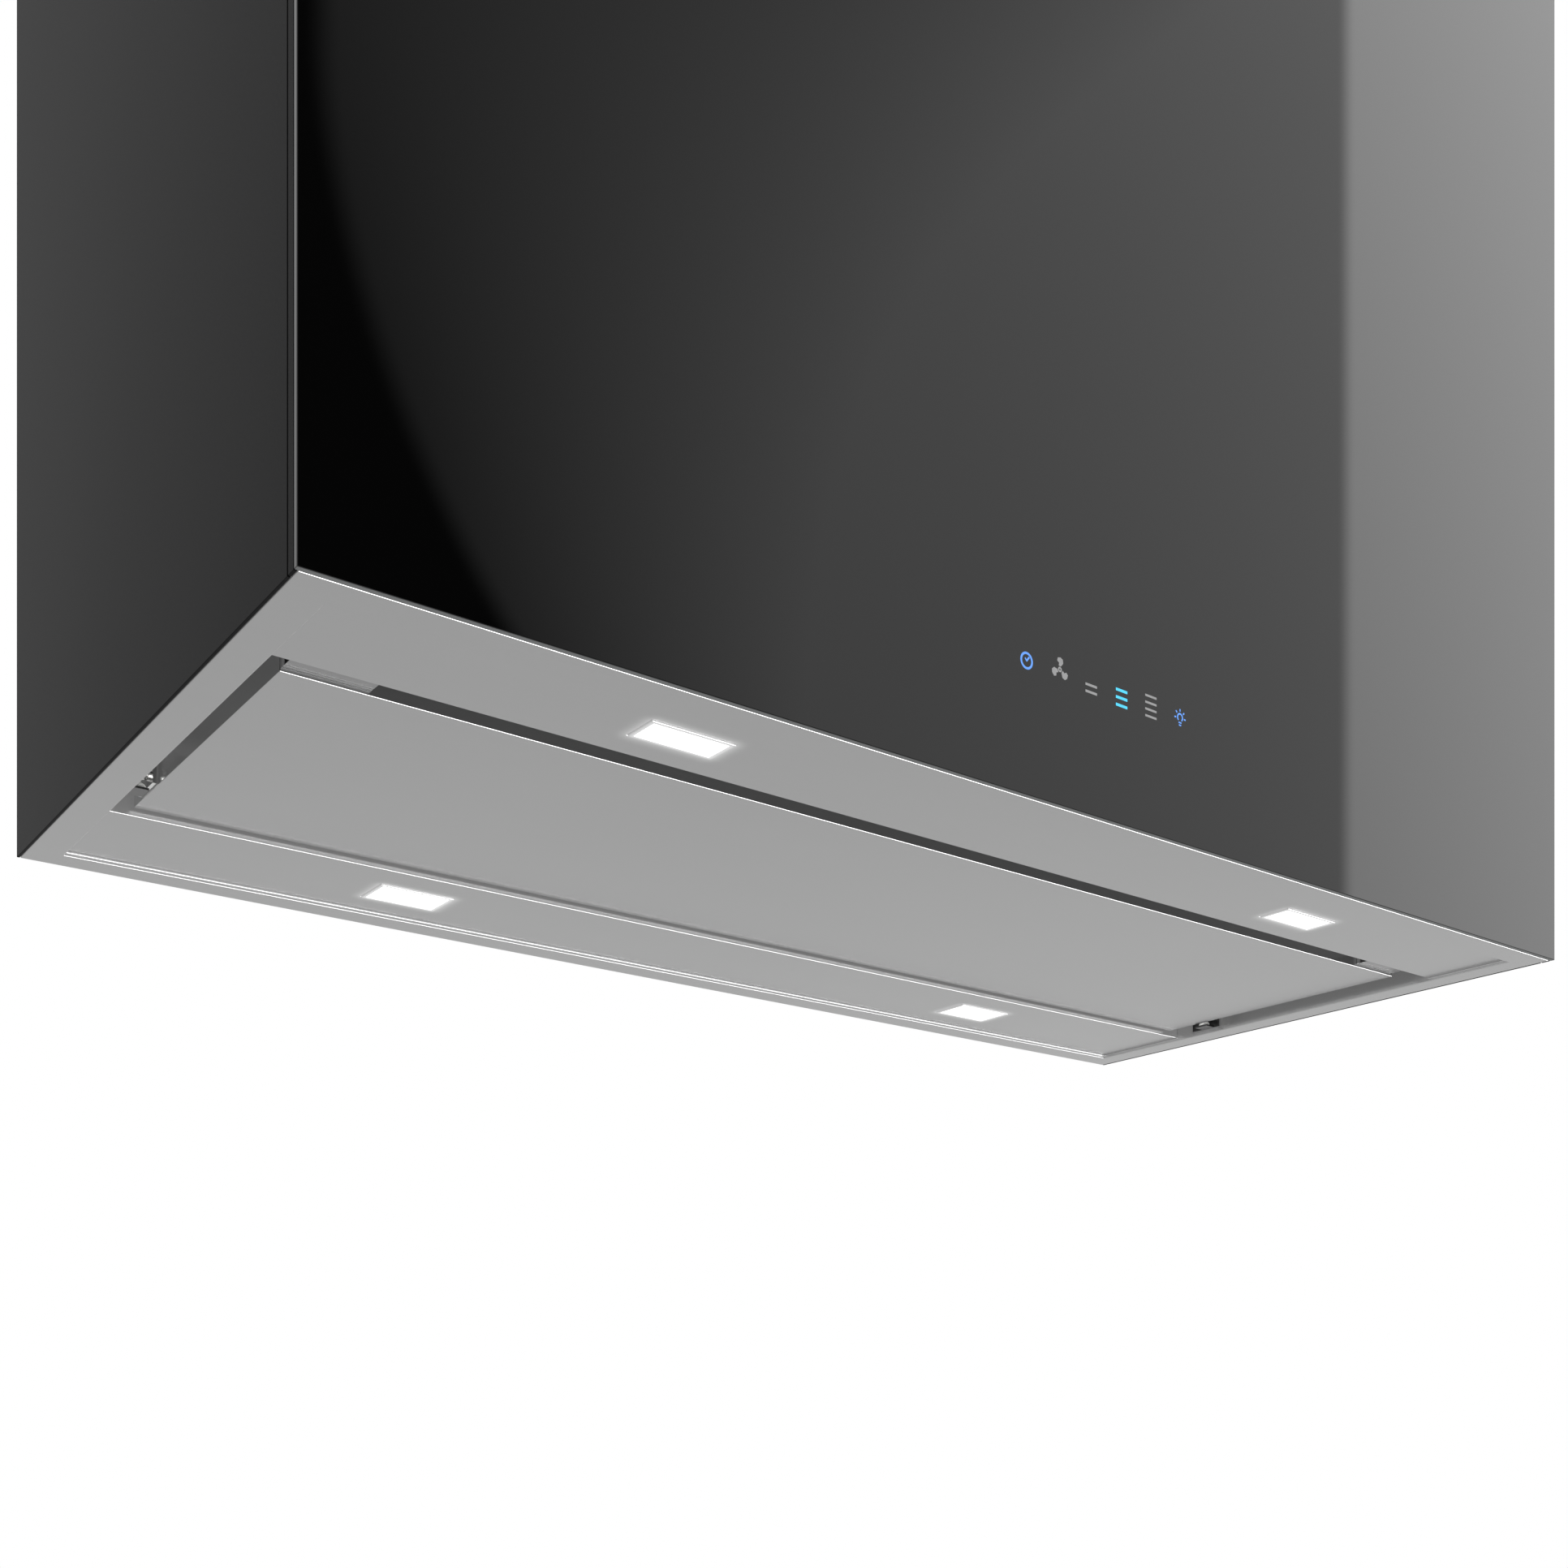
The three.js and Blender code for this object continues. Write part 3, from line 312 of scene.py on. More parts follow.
def cast_metal(name, colour):
    """Painted casting: a coarse skin, with painted shade darkening its hollows."""
    finish = Finish(name)
    skin = finish.noise(420.0, 4.0) - 0.5
    cloud = finish.noise(18.0, 2.0) - 0.5
    return finish.done(
        # The skin's hollows are made darker than its peaks: painted shade.
        Base_Color=finish.shaded(colour, 1.0 + skin * 0.35 + cloud * 0.2),
        Metallic=0.25,
        Roughness=0.5 + skin * 0.15,
        Normal=finish.bump(skin, 0.35, 0.0003),
    )


def moulded_plastic(name, colour, roughness=0.45):
    """Injection-moulded plastic with a fine spark-eroded grain."""
    finish = Finish(name)
    grain = finish.noise(1500.0, 2.0) - 0.5
    cloud = finish.noise(30.0, 2.0) - 0.5
    return finish.done(
        Base_Color=finish.shaded(colour, 1.0 + grain * 0.12 + cloud * 0.06),
        Roughness=roughness + grain * 0.10 + cloud * 0.05,
        Normal=finish.bump(grain, 0.14, 0.0001),
    )


def filter_metal(name, colour):
    """Rolled aluminium, dulled a little by washing."""
    finish = Finish(name)
    roll = finish.noise(1.0, 2.0, finish.stretched(6.0, 800.0, 800.0)) - 0.5
    bloom = finish.noise(22.0, 4.0) - 0.5
    return finish.done(
        Base_Color=finish.shaded(colour, 1.0 + roll * 0.10 + bloom * 0.14),
        Metallic=1.0,
        Roughness=0.36 + roll * 0.08 + bloom * 0.16,
        Normal=finish.bump(roll, 0.12, 0.00008),
    )


def circuit_board(name, colour):
    """Lacquered board with copper tracks under the lacquer."""
    finish = Finish(name)
    x, y, z = finish.split(finish.place)
    lanes = (x * 1500.0).wave().fade(0.55, 0.8)
    rungs = (z * 1900.0).wave().fade(0.6, 0.85)
    areas = finish.noise(70.0, 0.0).fade(0.47, 0.5)
    track = lanes * areas + rungs * (1.0 - areas)
    copper = finish.shaded(colour, 2.1)
    return finish.done(
        Base_Color=finish.mix(track, finish.shaded(colour, 1.0 + (finish.noise(300.0) - 0.5) * 0.2), copper),
        Roughness=0.32 - track * 0.06,
        Normal=finish.bump(track, 0.25, 0.0001),
    )


def lamp_lens(name, colour, strength):
    """A frosted lens over a field of small light sources."""
    finish = Finish(name)
    x, y, z = finish.split(finish.place)
    dots = (x * 1256.6).wave() * (y * 1256.6).wave()
    haze = finish.noise(160.0, 2.0) - 0.5
    frost = finish.noise(2200.0, 2.0) - 0.5
    return finish.done(
        Base_Color=rgba((0.85, 0.85, 0.85)),
        Roughness=0.35 + frost * 0.2,
        Emission_Color=finish.shaded(colour, 0.93 + dots * 0.05 + haze * 0.05),
        Emission_Strength=strength,
        Normal=finish.bump(frost, 0.2, 0.0001),
    )


def lit_sign(name, colour, strength):
    """A sign that shines through the glass, a touch uneven as its diffuser is."""
    finish = Finish(name)
    spread = finish.noise(260.0, 2.0) - 0.5
    grain = finish.noise(3000.0, 1.0) - 0.5
    return finish.done(
        Base_Color=rgba((0.01, 0.01, 0.012)),
        Roughness=0.06 + grain * 0.04,
        Emission_Color=finish.shaded(colour, 1.0 + spread * 0.3 + grain * 0.08),
        Emission_Strength=strength,
    )


def studio_floor(name, colour):
    finish = Finish(name)
    cloud = finish.noise(0.6, 2.0) - 0.5
    grain = finish.noise(90.0, 2.0) - 0.5
    return finish.done(
        Base_Color=finish.shaded(colour, 1.0 + cloud * 0.02 + grain * 0.02),
        Roughness=0.9 + grain * 0.05,
        Specular_IOR_Level=0.1,
    )


# ---- Settings a user would change -----------------------------------------------------------


def colour_setting(name, description, default):
    return bpy.props.FloatVectorProperty(
        name=name, description=description, default=default, subtype="COLOR", size=3, min=0.0, max=1.0
    )


def length_setting(name, description, default):
    return bpy.props.FloatProperty(
        name=name, description=description, default=default, min=0.0, precision=5, unit="LENGTH"
    )


class HoodSizes(bpy.types.PropertyGroup):
    sheet_edge: length_setting("Sheet edge", "Rounding of the steel sheet's edges", 0.45 * MM)
    glass_edge: length_setting("Glass edge", "Polished chamfer of the front glass", 0.5 * MM)
    part_edge: length_setting("Part edge", "Rounding of small fittings", 0.3 * MM)
    sign_stroke: length_setting("Sign stroke", "Line width of the touch signs", 1.2 * MM)
    sign_film: length_setting("Sign film", "Thickness of the touch signs", 0.1 * MM)
    screw_head: length_setting("Screw head", "Radius of the casing screws' heads", 4.0 * MM)


class HoodColours(bpy.types.PropertyGroup):
    steel: colour_setting("Steel", "Brushed stainless steel", (0.415, 0.415, 0.415))
    glass: colour_setting("Glass", "Back paint seen through the glass", (0.0006, 0.0006, 0.0006))
    glass_rim: colour_setting("Glass rim", "Ground edge of the glass", (0.15, 0.155, 0.155))
    paint: colour_setting("Paint", "Powder coat of the side panels", (0.004, 0.004, 0.0042))
    zinc: colour_setting("Zinc", "Galvanised sheet", (0.60, 0.62, 0.63))
    bright: colour_setting("Bright steel", "Plated pins and screws", (0.75, 0.75, 0.74))
    dark_steel: colour_setting("Dark steel", "Blackened hinge brackets", (0.12, 0.12, 0.12))
    aluminium: colour_setting("Aluminium", "Filters and damper flaps", (0.72, 0.73, 0.74))
    enamel: colour_setting("Enamel", "Motor housing", (0.05, 0.055, 0.06))
    black_plastic: colour_setting("Black plastic", "Gland and filter latches", (0.02, 0.02, 0.02))
    grey_plastic: colour_setting("Grey plastic", "Control box", (0.42, 0.42, 0.42))
    white_plastic: colour_setting("White plastic", "Screw caps and capacitor", (0.82, 0.82, 0.80))
    board: colour_setting("Board", "Touch unit's circuit board", (0.010, 0.10, 0.04))
    lamp: colour_setting("Lamp", "Light of the lamps", (1.0, 1.0, 1.0))
    sign_blue: colour_setting("Blue sign", "Signs that stand ready", (0.12, 0.36, 1.0))
    sign_cyan: colour_setting("Cyan sign", "The sign that is on", (0.06, 0.68, 1.0))
    sign_grey: colour_setting("Grey sign", "Signs that are off", (0.30, 0.30, 0.30))
    floor: colour_setting("Floor", "Studio floor", (0.70, 0.70, 0.70))


class HoodStudio(bpy.types.PropertyGroup):
    floor_drop: length_setting("Floor drop", "From the underside down to the floor", 1.6)
    floor_radius: length_setting("Floor radius", "Radius of the round floor", 12.0)
    camera_left: length_setting("Camera left", "From the left side panel to the camera", 0.26034)
    camera_ahead: length_setting("Camera ahead", "From the glass to the camera", 0.65319)
    camera_below: length_setting("Camera below", "From the underside down to the camera", 0.33910)
    camera_turn: bpy.props.FloatProperty(
        name="Camera turn", description="Turn to the right of square-on", default=0.64763, unit="ROTATION"
    )
    lens: bpy.props.FloatProperty(name="Lens", description="Focal length", default=40.668, unit="CAMERA")
    rise: bpy.props.FloatProperty(name="Rise", description="Upward lens shift", default=0.42611)


class HoodSettings(bpy.types.PropertyGroup):
    sizes: bpy.props.PointerProperty(type=HoodSizes)
    colours: bpy.props.PointerProperty(type=HoodColours)
    studio: bpy.props.PointerProperty(type=HoodStudio)


# ---- Dressing the frame's nodes -------------------------------------------------------------


def smooth_tree():
    """A modifier that shades smooth across every edge under a limit."""
    name = "smooth_by_angle"
    if name in bpy.data.node_groups:
        return bpy.data.node_groups[name]
    tree = bpy.data.node_groups.new(name, "GeometryNodeTree")
    tree.interface.new_socket("Geometry", in_out="INPUT", socket_type="NodeSocketGeometry")
    tree.interface.new_socket("Geometry", in_out="OUTPUT", socket_type="NodeSocketGeometry")
    sheet = NodeSheet(tree)
    shape = sheet.add("NodeGroupInput")
    angle = sheet.add("GeometryNodeInputMeshEdgeAngle")
    compare = {"data_type": "FLOAT", "operation": "GREATER_THAN"}
    sharp = sheet.add("FunctionNodeCompare", compare, {0: angle, 1: SHARP_ANGLE})
    shape = sheet.add("GeometryNodeSetShadeSmooth", {"domain": "FACE"}, {"Geometry": shape})
    kept = {"Geometry": shape, "Selection": sharp, "Shade Smooth": False}
    shape = sheet.add("GeometryNodeSetShadeSmooth", {"domain": "EDGE"}, kept)
    sheet.add("NodeGroupOutput", None, {0: shape})
    return tree


SHARP_ANGLE = math.radians(32)
FLAT_ANGLE = math.radians(0.5)
WELD = 0.02 * MM


def soften(piece, edge):
    """Rounds a piece's edges by modifiers and shades its curved faces smooth."""
    weld = piece.modifiers.new("Weld", "WELD")
    weld.merge_threshold = WELD
    flat = piece.modifiers.new("Flat", "DECIMATE")
    flat.decimate_type = "DISSOLVE"
    flat.angle_limit = FLAT_ANGLE
    smooth = piece.modifiers.new("Smooth", "NODES")
    smooth.node_group = smooth_tree()
    if edge:
        rounding = piece.modifiers.new("Edge", "BEVEL")
        rounding.width = edge
        rounding.segments = 2
        rounding.limit_method = "ANGLE"
        rounding.angle_limit = SHARP_ANGLE
        rounding.harden_normals = True


def dress(names, material, edge):
    for name in names:
        node = NODES[name]
        node.data.materials.clear()
        node.data.materials.append(material)
        soften(node, edge)


def named(prefix):
    return sorted(name for name in NODES if name.startswith(prefix))


def add_piece(name, mesh_builder, material, body):
    """Makes a new piece from a bmesh and lets it ride on a body."""
    mesh = bpy.data.meshes.new(name)
    mesh_builder.to_mesh(mesh)
    mesh_builder.free()
    piece = bpy.data.objects.new(name, mesh)
    bpy.context.scene.collection.objects.link(piece)
    mesh.materials.append(material)
    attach(piece, body)
    return piece


# ---- Signs ----------------------------------------------------------------------------------


class SignDrawing:
    """Flat shapes on the glass, drawn in x and z about the sign's middle and given a thickness."""

    def __init__(self, middle_x, middle_z, film):
        self.mesh = bmesh.new()
        self.middle = (middle_x, middle_z)
        self.front = LOW.y - film * 0.6
        self.back = LOW.y + film * 0.4

    def outline(self, points, y):
        return [self.mesh.verts.new((self.middle[0] + x, y, self.middle[1] + z)) for x, z in points]

    def plate(self, points):
        """A filled shape; points run anticlockwise as seen from in front."""
        front = self.outline(points, self.front)
        back = self.outline(points, self.back)
        self.mesh.faces.new(front)
        self.mesh.faces.new(back[::-1])
        for i in range(len(points)):
            j = (i + 1) % len(points)
            self.mesh.faces.new((front[i], back[i], back[j], front[j]))

    def bar(self, x, z, width, height):
        a, b = width / 2, height / 2
        self.plate([(x - a, z - b), (x + a, z - b), (x + a, z + b), (x - a, z + b)])

    def line(self, start, end, width):
        start, end = Vector(start), Vector(end)
        side = (end - start).normalized().orthogonal() * (width / 2)
        self.plate([tuple(start - side), tuple(end - side), tuple(end + side), tuple(start + side)])

    def ring(self, x, z, outer, inner, start=0.0, end=math.tau, steps=40):
        """A ring, or a part of one from one angle to another."""
        closed = end - start >= math.tau - 1e-6
        count = steps if closed else steps + 1
        loops = []
        for radius, y in ((outer, self.front), (inner, self.front), (inner, self.back), (outer, self.back)):
            angles = [start + (end - start) * i / steps for i in range(count)]
            points = [(x + radius * math.cos(a), z + radius * math.sin(a)) for a in angles]
            loops.append(self.outline(points, y))
        for k in range(4):
            first, second = loops[k], loops[(k + 1) % 4]
            for i in range(steps):
                j = (i + 1) % count
                self.mesh.faces.new((first[j], first[i], second[i], second[j]))
        if not closed:
            self.mesh.faces.new([loop[0] for loop in loops])
            self.mesh.faces.new([loop[-1] for loop in reversed(loops)])


def turned_points(points, angle):
    c, s = math.cos(angle), math.sin(angle)
    return [(x * c - z * s, x * s + z * c) for x, z in points]


def draw_timer(drawing, stroke):
    drawing.ring(0, 0, 4.5 * MM, 4.5 * MM - stroke)
    drawing.line((-0.2 * MM, -0.3 * MM), (1.9 * MM, 2.2 * MM), stroke * 0.8)
    drawing.line((-1.1 * MM, 1.3 * MM), (-0.1 * MM, -0.1 * MM), stroke * 0.6)


def draw_fan(drawing, stroke):
    drawing.ring(0, 0, 1.4 * MM, 0.5 * MM, steps=20)
    blade = [
        (-0.9, 1.9), (0.7, 1.7), (2.4, 3.6), (2.1, 5.6), (0.4, 6.4), (-1.6, 5.9), (-2.0, 4.3), (-0.6, 3.4),
    ]
    blade = [(x * MM, z * MM) for x, z in blade]
    for third in range(3):
        drawing.plate(turned_points(blade, math.tau * third / 3))


def draw_bars(count, width, thick, pitch):
    def draw(drawing, stroke):
        for i in range(count):
            drawing.bar(0, (i - (count - 1) / 2) * pitch, width, thick)

    return draw


def draw_light(drawing, stroke):
    gap = math.radians(38)
    drawing.ring(0, 0.6 * MM, 2.5 * MM, 1.6 * MM, -math.pi / 2 + gap, 1.5 * math.pi - gap, 26)
    drawing.bar(0, -2.3 * MM, 2.4 * MM, 0.8 * MM)
    drawing.bar(0, -3.7 * MM, 1.8 * MM, 0.8 * MM)
    for turn in range(-2, 3):
        angle = math.pi / 2 + turn * math.radians(48)
        away = Vector((math.cos(angle), math.sin(angle)))
        middle = Vector((0, 0.6 * MM))
        drawing.line(tuple(middle + away * 3.3 * MM), tuple(middle + away * 4.7 * MM), 0.85 * MM)


# Name, from the left side, above the underside, finish, drawing.
SIGNS = (
    ("sign_timer", 390.7, 69.2, "sign_blue", draw_timer),
    ("sign_fan", 415.1, 71.1, "sign_grey", draw_fan),
    ("sign_two_bars", 438.8, 67.0, "sign_grey", draw_bars(2, 8.8 * MM, 1.3 * MM, 3.7 * MM)),
    ("sign_three_bars", 462.5, 68.1, "sign_cyan", draw_bars(3, 9.0 * MM, 1.5 * MM, 4.1 * MM)),
    ("sign_four_bars", 486.0, 69.5, "sign_grey", draw_bars(4, 9.2 * MM, 1.2 * MM, 3.7 * MM)),
    ("sign_light", 510.1, 69.1, "sign_blue", draw_light),
)


# ---- Screws ---------------------------------------------------------------------------------


def add_screw(mesh, centre, outward, radius, turn):
    """A domed screw head with a cross recess, seated at centre and facing outward."""
    steps = 24
    side = outward.orthogonal().normalized()
    other = outward.cross(side)
    height = radius * 0.55

    def at(across, along, up):
        return mesh.verts.new(centre + side * across + other * along + outward * up)

    rings = []
    for scale, up in ((1.0, 0.0), (1.0, 0.25), (0.93, 0.55), (0.78, 0.85), (0.58, 1.0)):
        angles = [math.tau * i / steps for i in range(steps)]
        reach = radius * scale
        rings.append([at(reach * math.cos(a), reach * math.sin(a), height * up) for a in angles])
    for low, high in zip(rings, rings[1:]):
        for i in range(steps):
            j = (i + 1) % steps
            mesh.faces.new((low[i], low[j], high[j], high[i]))
    mesh.faces.new(rings[0][::-1])
    arm, half = radius * 0.46, radius * 0.13
    cross = [
        (arm, -half), (arm, half), (half, half), (half, arm), (-half, arm), (-half, half),
        (-arm, half), (-arm, -half), (-half, -half), (-half, -arm), (half, -arm), (half, -half),
    ]
    cross = turned_points(cross, turn)
    rim = [at(x, z, height) for x, z in cross]
    floor = [at(x * 0.8, z * 0.8, height * 0.35) for x, z in cross]
    edges = [mesh.edges.new((rim[i], rim[(i + 1) % 12])) for i in range(12)]
    edges += [mesh.edges.get((rings[-1][i], rings[-1][(i + 1) % steps])) for i in range(steps)]
    bmesh.ops.triangle_fill(mesh, use_beauty=True, edges=edges, normal=outward)
    for i in range(12):
        j = (i + 1) % 12
        mesh.faces.new((rim[i], floor[i], floor[j], rim[j]))
    mesh.faces.new(floor)


def screw_row(start, end, count):
    """Evenly spaced places from start to end."""
    start, end = Vector(start), Vector(end)
    return [start.lerp(end, i / (count - 1)) for i in range(count)]


def place_screws(name, places, outward, radius, material):
    mesh = bmesh.new()
    for i, place in enumerate(places):
        add_screw(mesh, place, outward, radius, 0.7 * i)
    bmesh.ops.recalc_face_normals(mesh, faces=mesh.faces)
    return add_piece(name, mesh, material, "casing")


# ---- Operators ------------------------------------------------------------------------------


class HoodStep:
    """What the operators share."""

    bl_options = {"REGISTER", "UNDO"}

    def execute(self, context):
        self.make(context.scene.hood)
        return {"FINISHED"}


class HOOD_OT_glass_front(HoodStep, bpy.types.Operator):
    """Dress the front glass and the pan bonded behind it"""

    bl_idname = "hood.glass_front"
    bl_label = "Glass front"

    def make(self, hood):
        glass = painted_glass("painted_glass", hood.colours.glass, hood.colours.glass_rim)
        dress(["front_glass"], glass, hood.sizes.glass_edge)
        dress(["front_carrier"], powder_coat("carrier_paint", hood.colours.paint), hood.sizes.part_edge)


class HOOD_OT_side_panels(HoodStep, bpy.types.Operator):
    """Dress the two powder-coated side panels"""

    bl_idname = "hood.side_panels"
    bl_label = "Side panels"

    def make(self, hood):
        dress(named("side_panel_"), powder_coat("powder_coat", hood.colours.paint), hood.sizes.part_edge)


# Reach of the painted glow round each lamp.
PAINTED_GLOW_SPREAD = 13 * MM


def painted_lamp_glow(finish):
    """Painted light on the steel round each lamp, by its distance from the lens: an emission glow, not light
    cast by the lamps.
    """
    x, y, z = finish.split(finish.place)
    painted_glow = 0.0
    for row in ("front", "rear"):
        low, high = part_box(f"led_lens_{row}_right")
        middle, half = (low + high) / 2, (high - low) / 2
        aside = (abs(abs(x) - middle.x) - half.x).at_least(0.0)
        ahead = (abs(y - middle.y) - half.y).at_least(0.0)
        away = (aside ** 2.0 + ahead ** 2.0) ** 0.5
        near = 1.0 - (away / PAINTED_GLOW_SPREAD).at_most(1.0)
        painted_glow = near ** 3.0 * 0.5 + painted_glow
    return painted_glow * (z < LOW.z + 3 * MM)


def painted_slot_light(finish, ahead, aside):
    """Painted light in the slot round the panel: emission on the walls that face the front or the left, in
    place of light scattered there.
    """
    x, y, z = finish.split(finish.add("ShaderNodeNewGeometry", output=1))
    return (-y).fade(0.8, 0.95) * ahead + (-x).fade(0.8, 0.95) * aside


# Painted light for the tray: the glow round the lamps plus the slot emission.
def painted_tray_light(finish):
    return painted_lamp_glow(finish) + painted_slot_light(finish, 0.13, 0.10)


# Painted light for the suction panel's slot walls.
def painted_panel_light(finish):
    return painted_slot_light(finish, 0.043, 0.062)


# Painted light for the magnet strikes' slot faces.
def painted_catch_light(finish):
    return painted_slot_light(finish, 0.09, 0.09)


class HOOD_OT_steel_underside(HoodStep, bpy.types.Operator):
    """Dress the stainless tray that closes the hood from below"""

    bl_idname = "hood.steel_underside"
    bl_label = "Steel underside"

    def make(self, hood):
        # The tray's steel carries painted light: glow round the lamps and emission in the slots.
        steel = brushed_steel("underside_steel", hood.colours.steel, painted_tray_light)
        dress(["canopy_tray"], steel, hood.sizes.sheet_edge)


class HOOD_OT_suction_panel(HoodStep, bpy.types.Operator):
    """Dress the hinged suction panel and its backing"""

    bl_idname = "hood.suction_panel"
    bl_label = "Suction panel"

    def make(self, hood):
        # The panel's steel carries painted light on its slot walls.
        steel = brushed_steel("panel_steel", hood.colours.steel, painted_panel_light)
        dress(["suction_panel"], steel, hood.sizes.sheet_edge)
        dress(["panel_backing"], zinc_sheet("backing_zinc", hood.colours.zinc), 0.0)


class HOOD_OT_lamps(HoodStep, bpy.types.Operator):
    """Dress the four lamps"""

    bl_idname = "hood.lamps"
    bl_label = "Lamps"

    def make(self, hood):
        # The lamp frames carry the painted glow round each lamp.
        housing = brushed_steel("lamp_frame", hood.colours.steel, painted_lamp_glow)
        dress(named("led_housing_"), housing, hood.sizes.part_edge)
        dress(named("led_lens_"), lamp_lens("lamp_lens", hood.colours.lamp, 3.0), hood.sizes.part_edge)


class HOOD_OT_hinges(HoodStep, bpy.types.Operator):
    """Dress the panel's hinges with their screw caps, and its catches"""

    bl_idname = "hood.hinges"
    bl_label = "Hinges and catches"

    def make(self, hood):
        bright = turned_metal("hinge_steel", hood.colours.bright, 0.22)
        edge = hood.sizes.part_edge
        dress(named("panel_hinge_ear_"), bright, edge)
        dress(named("hinge_bracket_"), turned_metal("bracket_steel", hood.colours.dark_steel, 0.3), edge)
        dress(named("hinge_pin_"), bright, edge)
        # The strikes' steel carries painted light in the slot.
        dress(named("magnet_strike_"), brushed_steel("strike_steel", hood.colours.steel, painted_catch_light), edge)
        dress(named("hinge_dome_"), moulded_plastic("screw_cap", hood.colours.white_plastic, 0.2), 0.0)
        magnets = sorted(set(named("magnet_")) - set(named("magnet_strike_")))
        dress(magnets, brushed_steel("catch_steel", [part * 0.7 for part in hood.colours.steel]), edge)


class HOOD_OT_filters(HoodStep, bpy.types.Operator):
    """Dress the grease filters, their latches and the rails that hold them"""

    bl_idname = "hood.filters"
    bl_label = "Grease filters"

    def make(self, hood):
        edge = hood.sizes.part_edge
        dress(named("grease_filter_"), filter_metal("filter_metal", hood.colours.aluminium), edge)
        dress(named("filter_latch_"), moulded_plastic("latch_plastic", hood.colours.black_plastic), edge)
        rails = named("filter_rail_") + named("filter_side_plate_")
        dress(rails, brushed_steel("rail_steel", hood.colours.steel), edge)


class HOOD_OT_blower(HoodStep, bpy.types.Operator):
    """Dress the scroll housing, the fan and its motor"""

    bl_idname = "hood.blower"
    bl_label = "Blower"

    def make(self, hood):
        edge = hood.sizes.part_edge
        dress(named("scroll_") + ["motor_bracket"], zinc_sheet("scroll_zinc", hood.colours.zinc), edge)
        dress(["impeller"], zinc_sheet("impeller_zinc", hood.colours.zinc), 0.0)
        dress(["motor_shaft"], turned_metal("shaft_steel", hood.colours.bright, 0.25), 0.0)
        dress(["motor"], cast_metal("motor_enamel", hood.colours.enamel), edge)


class HOOD_OT_duct(HoodStep, bpy.types.Operator):
    """Dress the duct collar, its screws and the two-flap damper"""

    bl_idname = "hood.duct"
    bl_label = "Duct collar"

    def make(self, hood):
        edge = hood.sizes.part_edge
        dress(["duct_collar"], zinc_sheet("collar_zinc", hood.colours.zinc), edge)
        dress(named("damper_flap_"), filter_metal("flap_aluminium", hood.colours.aluminium), edge)
        bright = turned_metal("screw_steel", hood.colours.bright, 0.3)
        dress(named("collar_screw_") + ["damper_rod"], bright, edge)


class HOOD_OT_casing(HoodStep, bpy.types.Operator):
    """Dress the top and back sheets and the wall fixing"""

    bl_idname = "hood.casing"
    bl_label = "Casing sheets"

    def make(self, hood):
        edge = hood.sizes.part_edge
        zinc = zinc_sheet("casing_zinc", hood.colours.zinc)
        dress(["top_panel", "back_panel"], zinc, edge)
        dress(["hang_bracket", "wall_rail"], zinc_sheet("bracket_zinc", hood.colours.zinc), edge)


class HOOD_OT_electrics(HoodStep, bpy.types.Operator):
    """Dress the touch unit, the control box and the cable gland"""

    bl_idname = "hood.electrics"
    bl_label = "Electrics"

    def make(self, hood):
        edge = hood.sizes.part_edge
        dress(["touch_board"], circuit_board("touch_board", hood.colours.board), edge)
        box = moulded_plastic("box_plastic", hood.colours.grey_plastic)
        dress(["control_box", "control_box_lid"], box, edge)
        dress(["motor_capacitor"], moulded_plastic("capacitor_plastic", hood.colours.white_plastic), edge)
        dress(["cable_gland"], moulded_plastic("gland_plastic", hood.colours.black_plastic), edge)


class HOOD_OT_signs(HoodStep, bpy.types.Operator):
    """Draw the six touch signs on the glass"""

    bl_idname = "hood.signs"
    bl_label = "Touch signs"

    def make(self, hood):
        colours = hood.colours
        finishes = {
            "sign_blue": lit_sign("sign_blue", colours.sign_blue, 1.0),
            "sign_cyan": lit_sign("sign_cyan", colours.sign_cyan, 1.05),
            "sign_grey": lit_sign("sign_grey", colours.sign_grey, 1.0),
        }
        for name, from_left, rise, finish, draw in SIGNS:
            drawing = SignDrawing(LOW.x + from_left * MM, LOW.z + rise * MM, hood.sizes.sign_film)
            draw(drawing, hood.sizes.sign_stroke)
            bmesh.ops.recalc_face_normals(drawing.mesh, faces=drawing.mesh.faces)
            add_piece(name, drawing.mesh, finishes[finish], "casing")


SCREW_INSET = 9 * MM  # from the sheet's edge to the row
SCREW_START = 30 * MM  # from the sheet's corner to the first screw


class HOOD_OT_screws(HoodStep, bpy.types.Operator):
    """Add the screws that hold the back and top sheets"""

    bl_idname = "hood.screws"
    bl_label = "Casing screws"

    def make(self, hood):
        steel = turned_metal("casing_screws", hood.colours.bright, 0.3)
        radius = hood.sizes.screw_head
        low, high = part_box("back_panel")
        left, right = low.x + SCREW_INSET, high.x - SCREW_INSET
        bottom, top = low.z + SCREW_START, high.z - SCREW_START
        places = screw_row((left, high.y, bottom), (left, high.y, top), 6)
        places += screw_row((right, high.y, bottom), (right, high.y, top), 6)
        place_screws("back_screws", places, Vector((0, 1, 0)), radius, steel)
        low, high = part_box("top_panel")
        front, rear = low.y + SCREW_INSET, high.y - SCREW_INSET
        left, right = low.x + SCREW_START, high.x - SCREW_START
        places = screw_row((left, front, high.z), (right, front, high.z), 5)
        places += screw_row((left, rear, high.z), (right, rear, high.z), 5)
        place_screws("top_screws", places, Vector((0, 0, 1)), radius, steel)


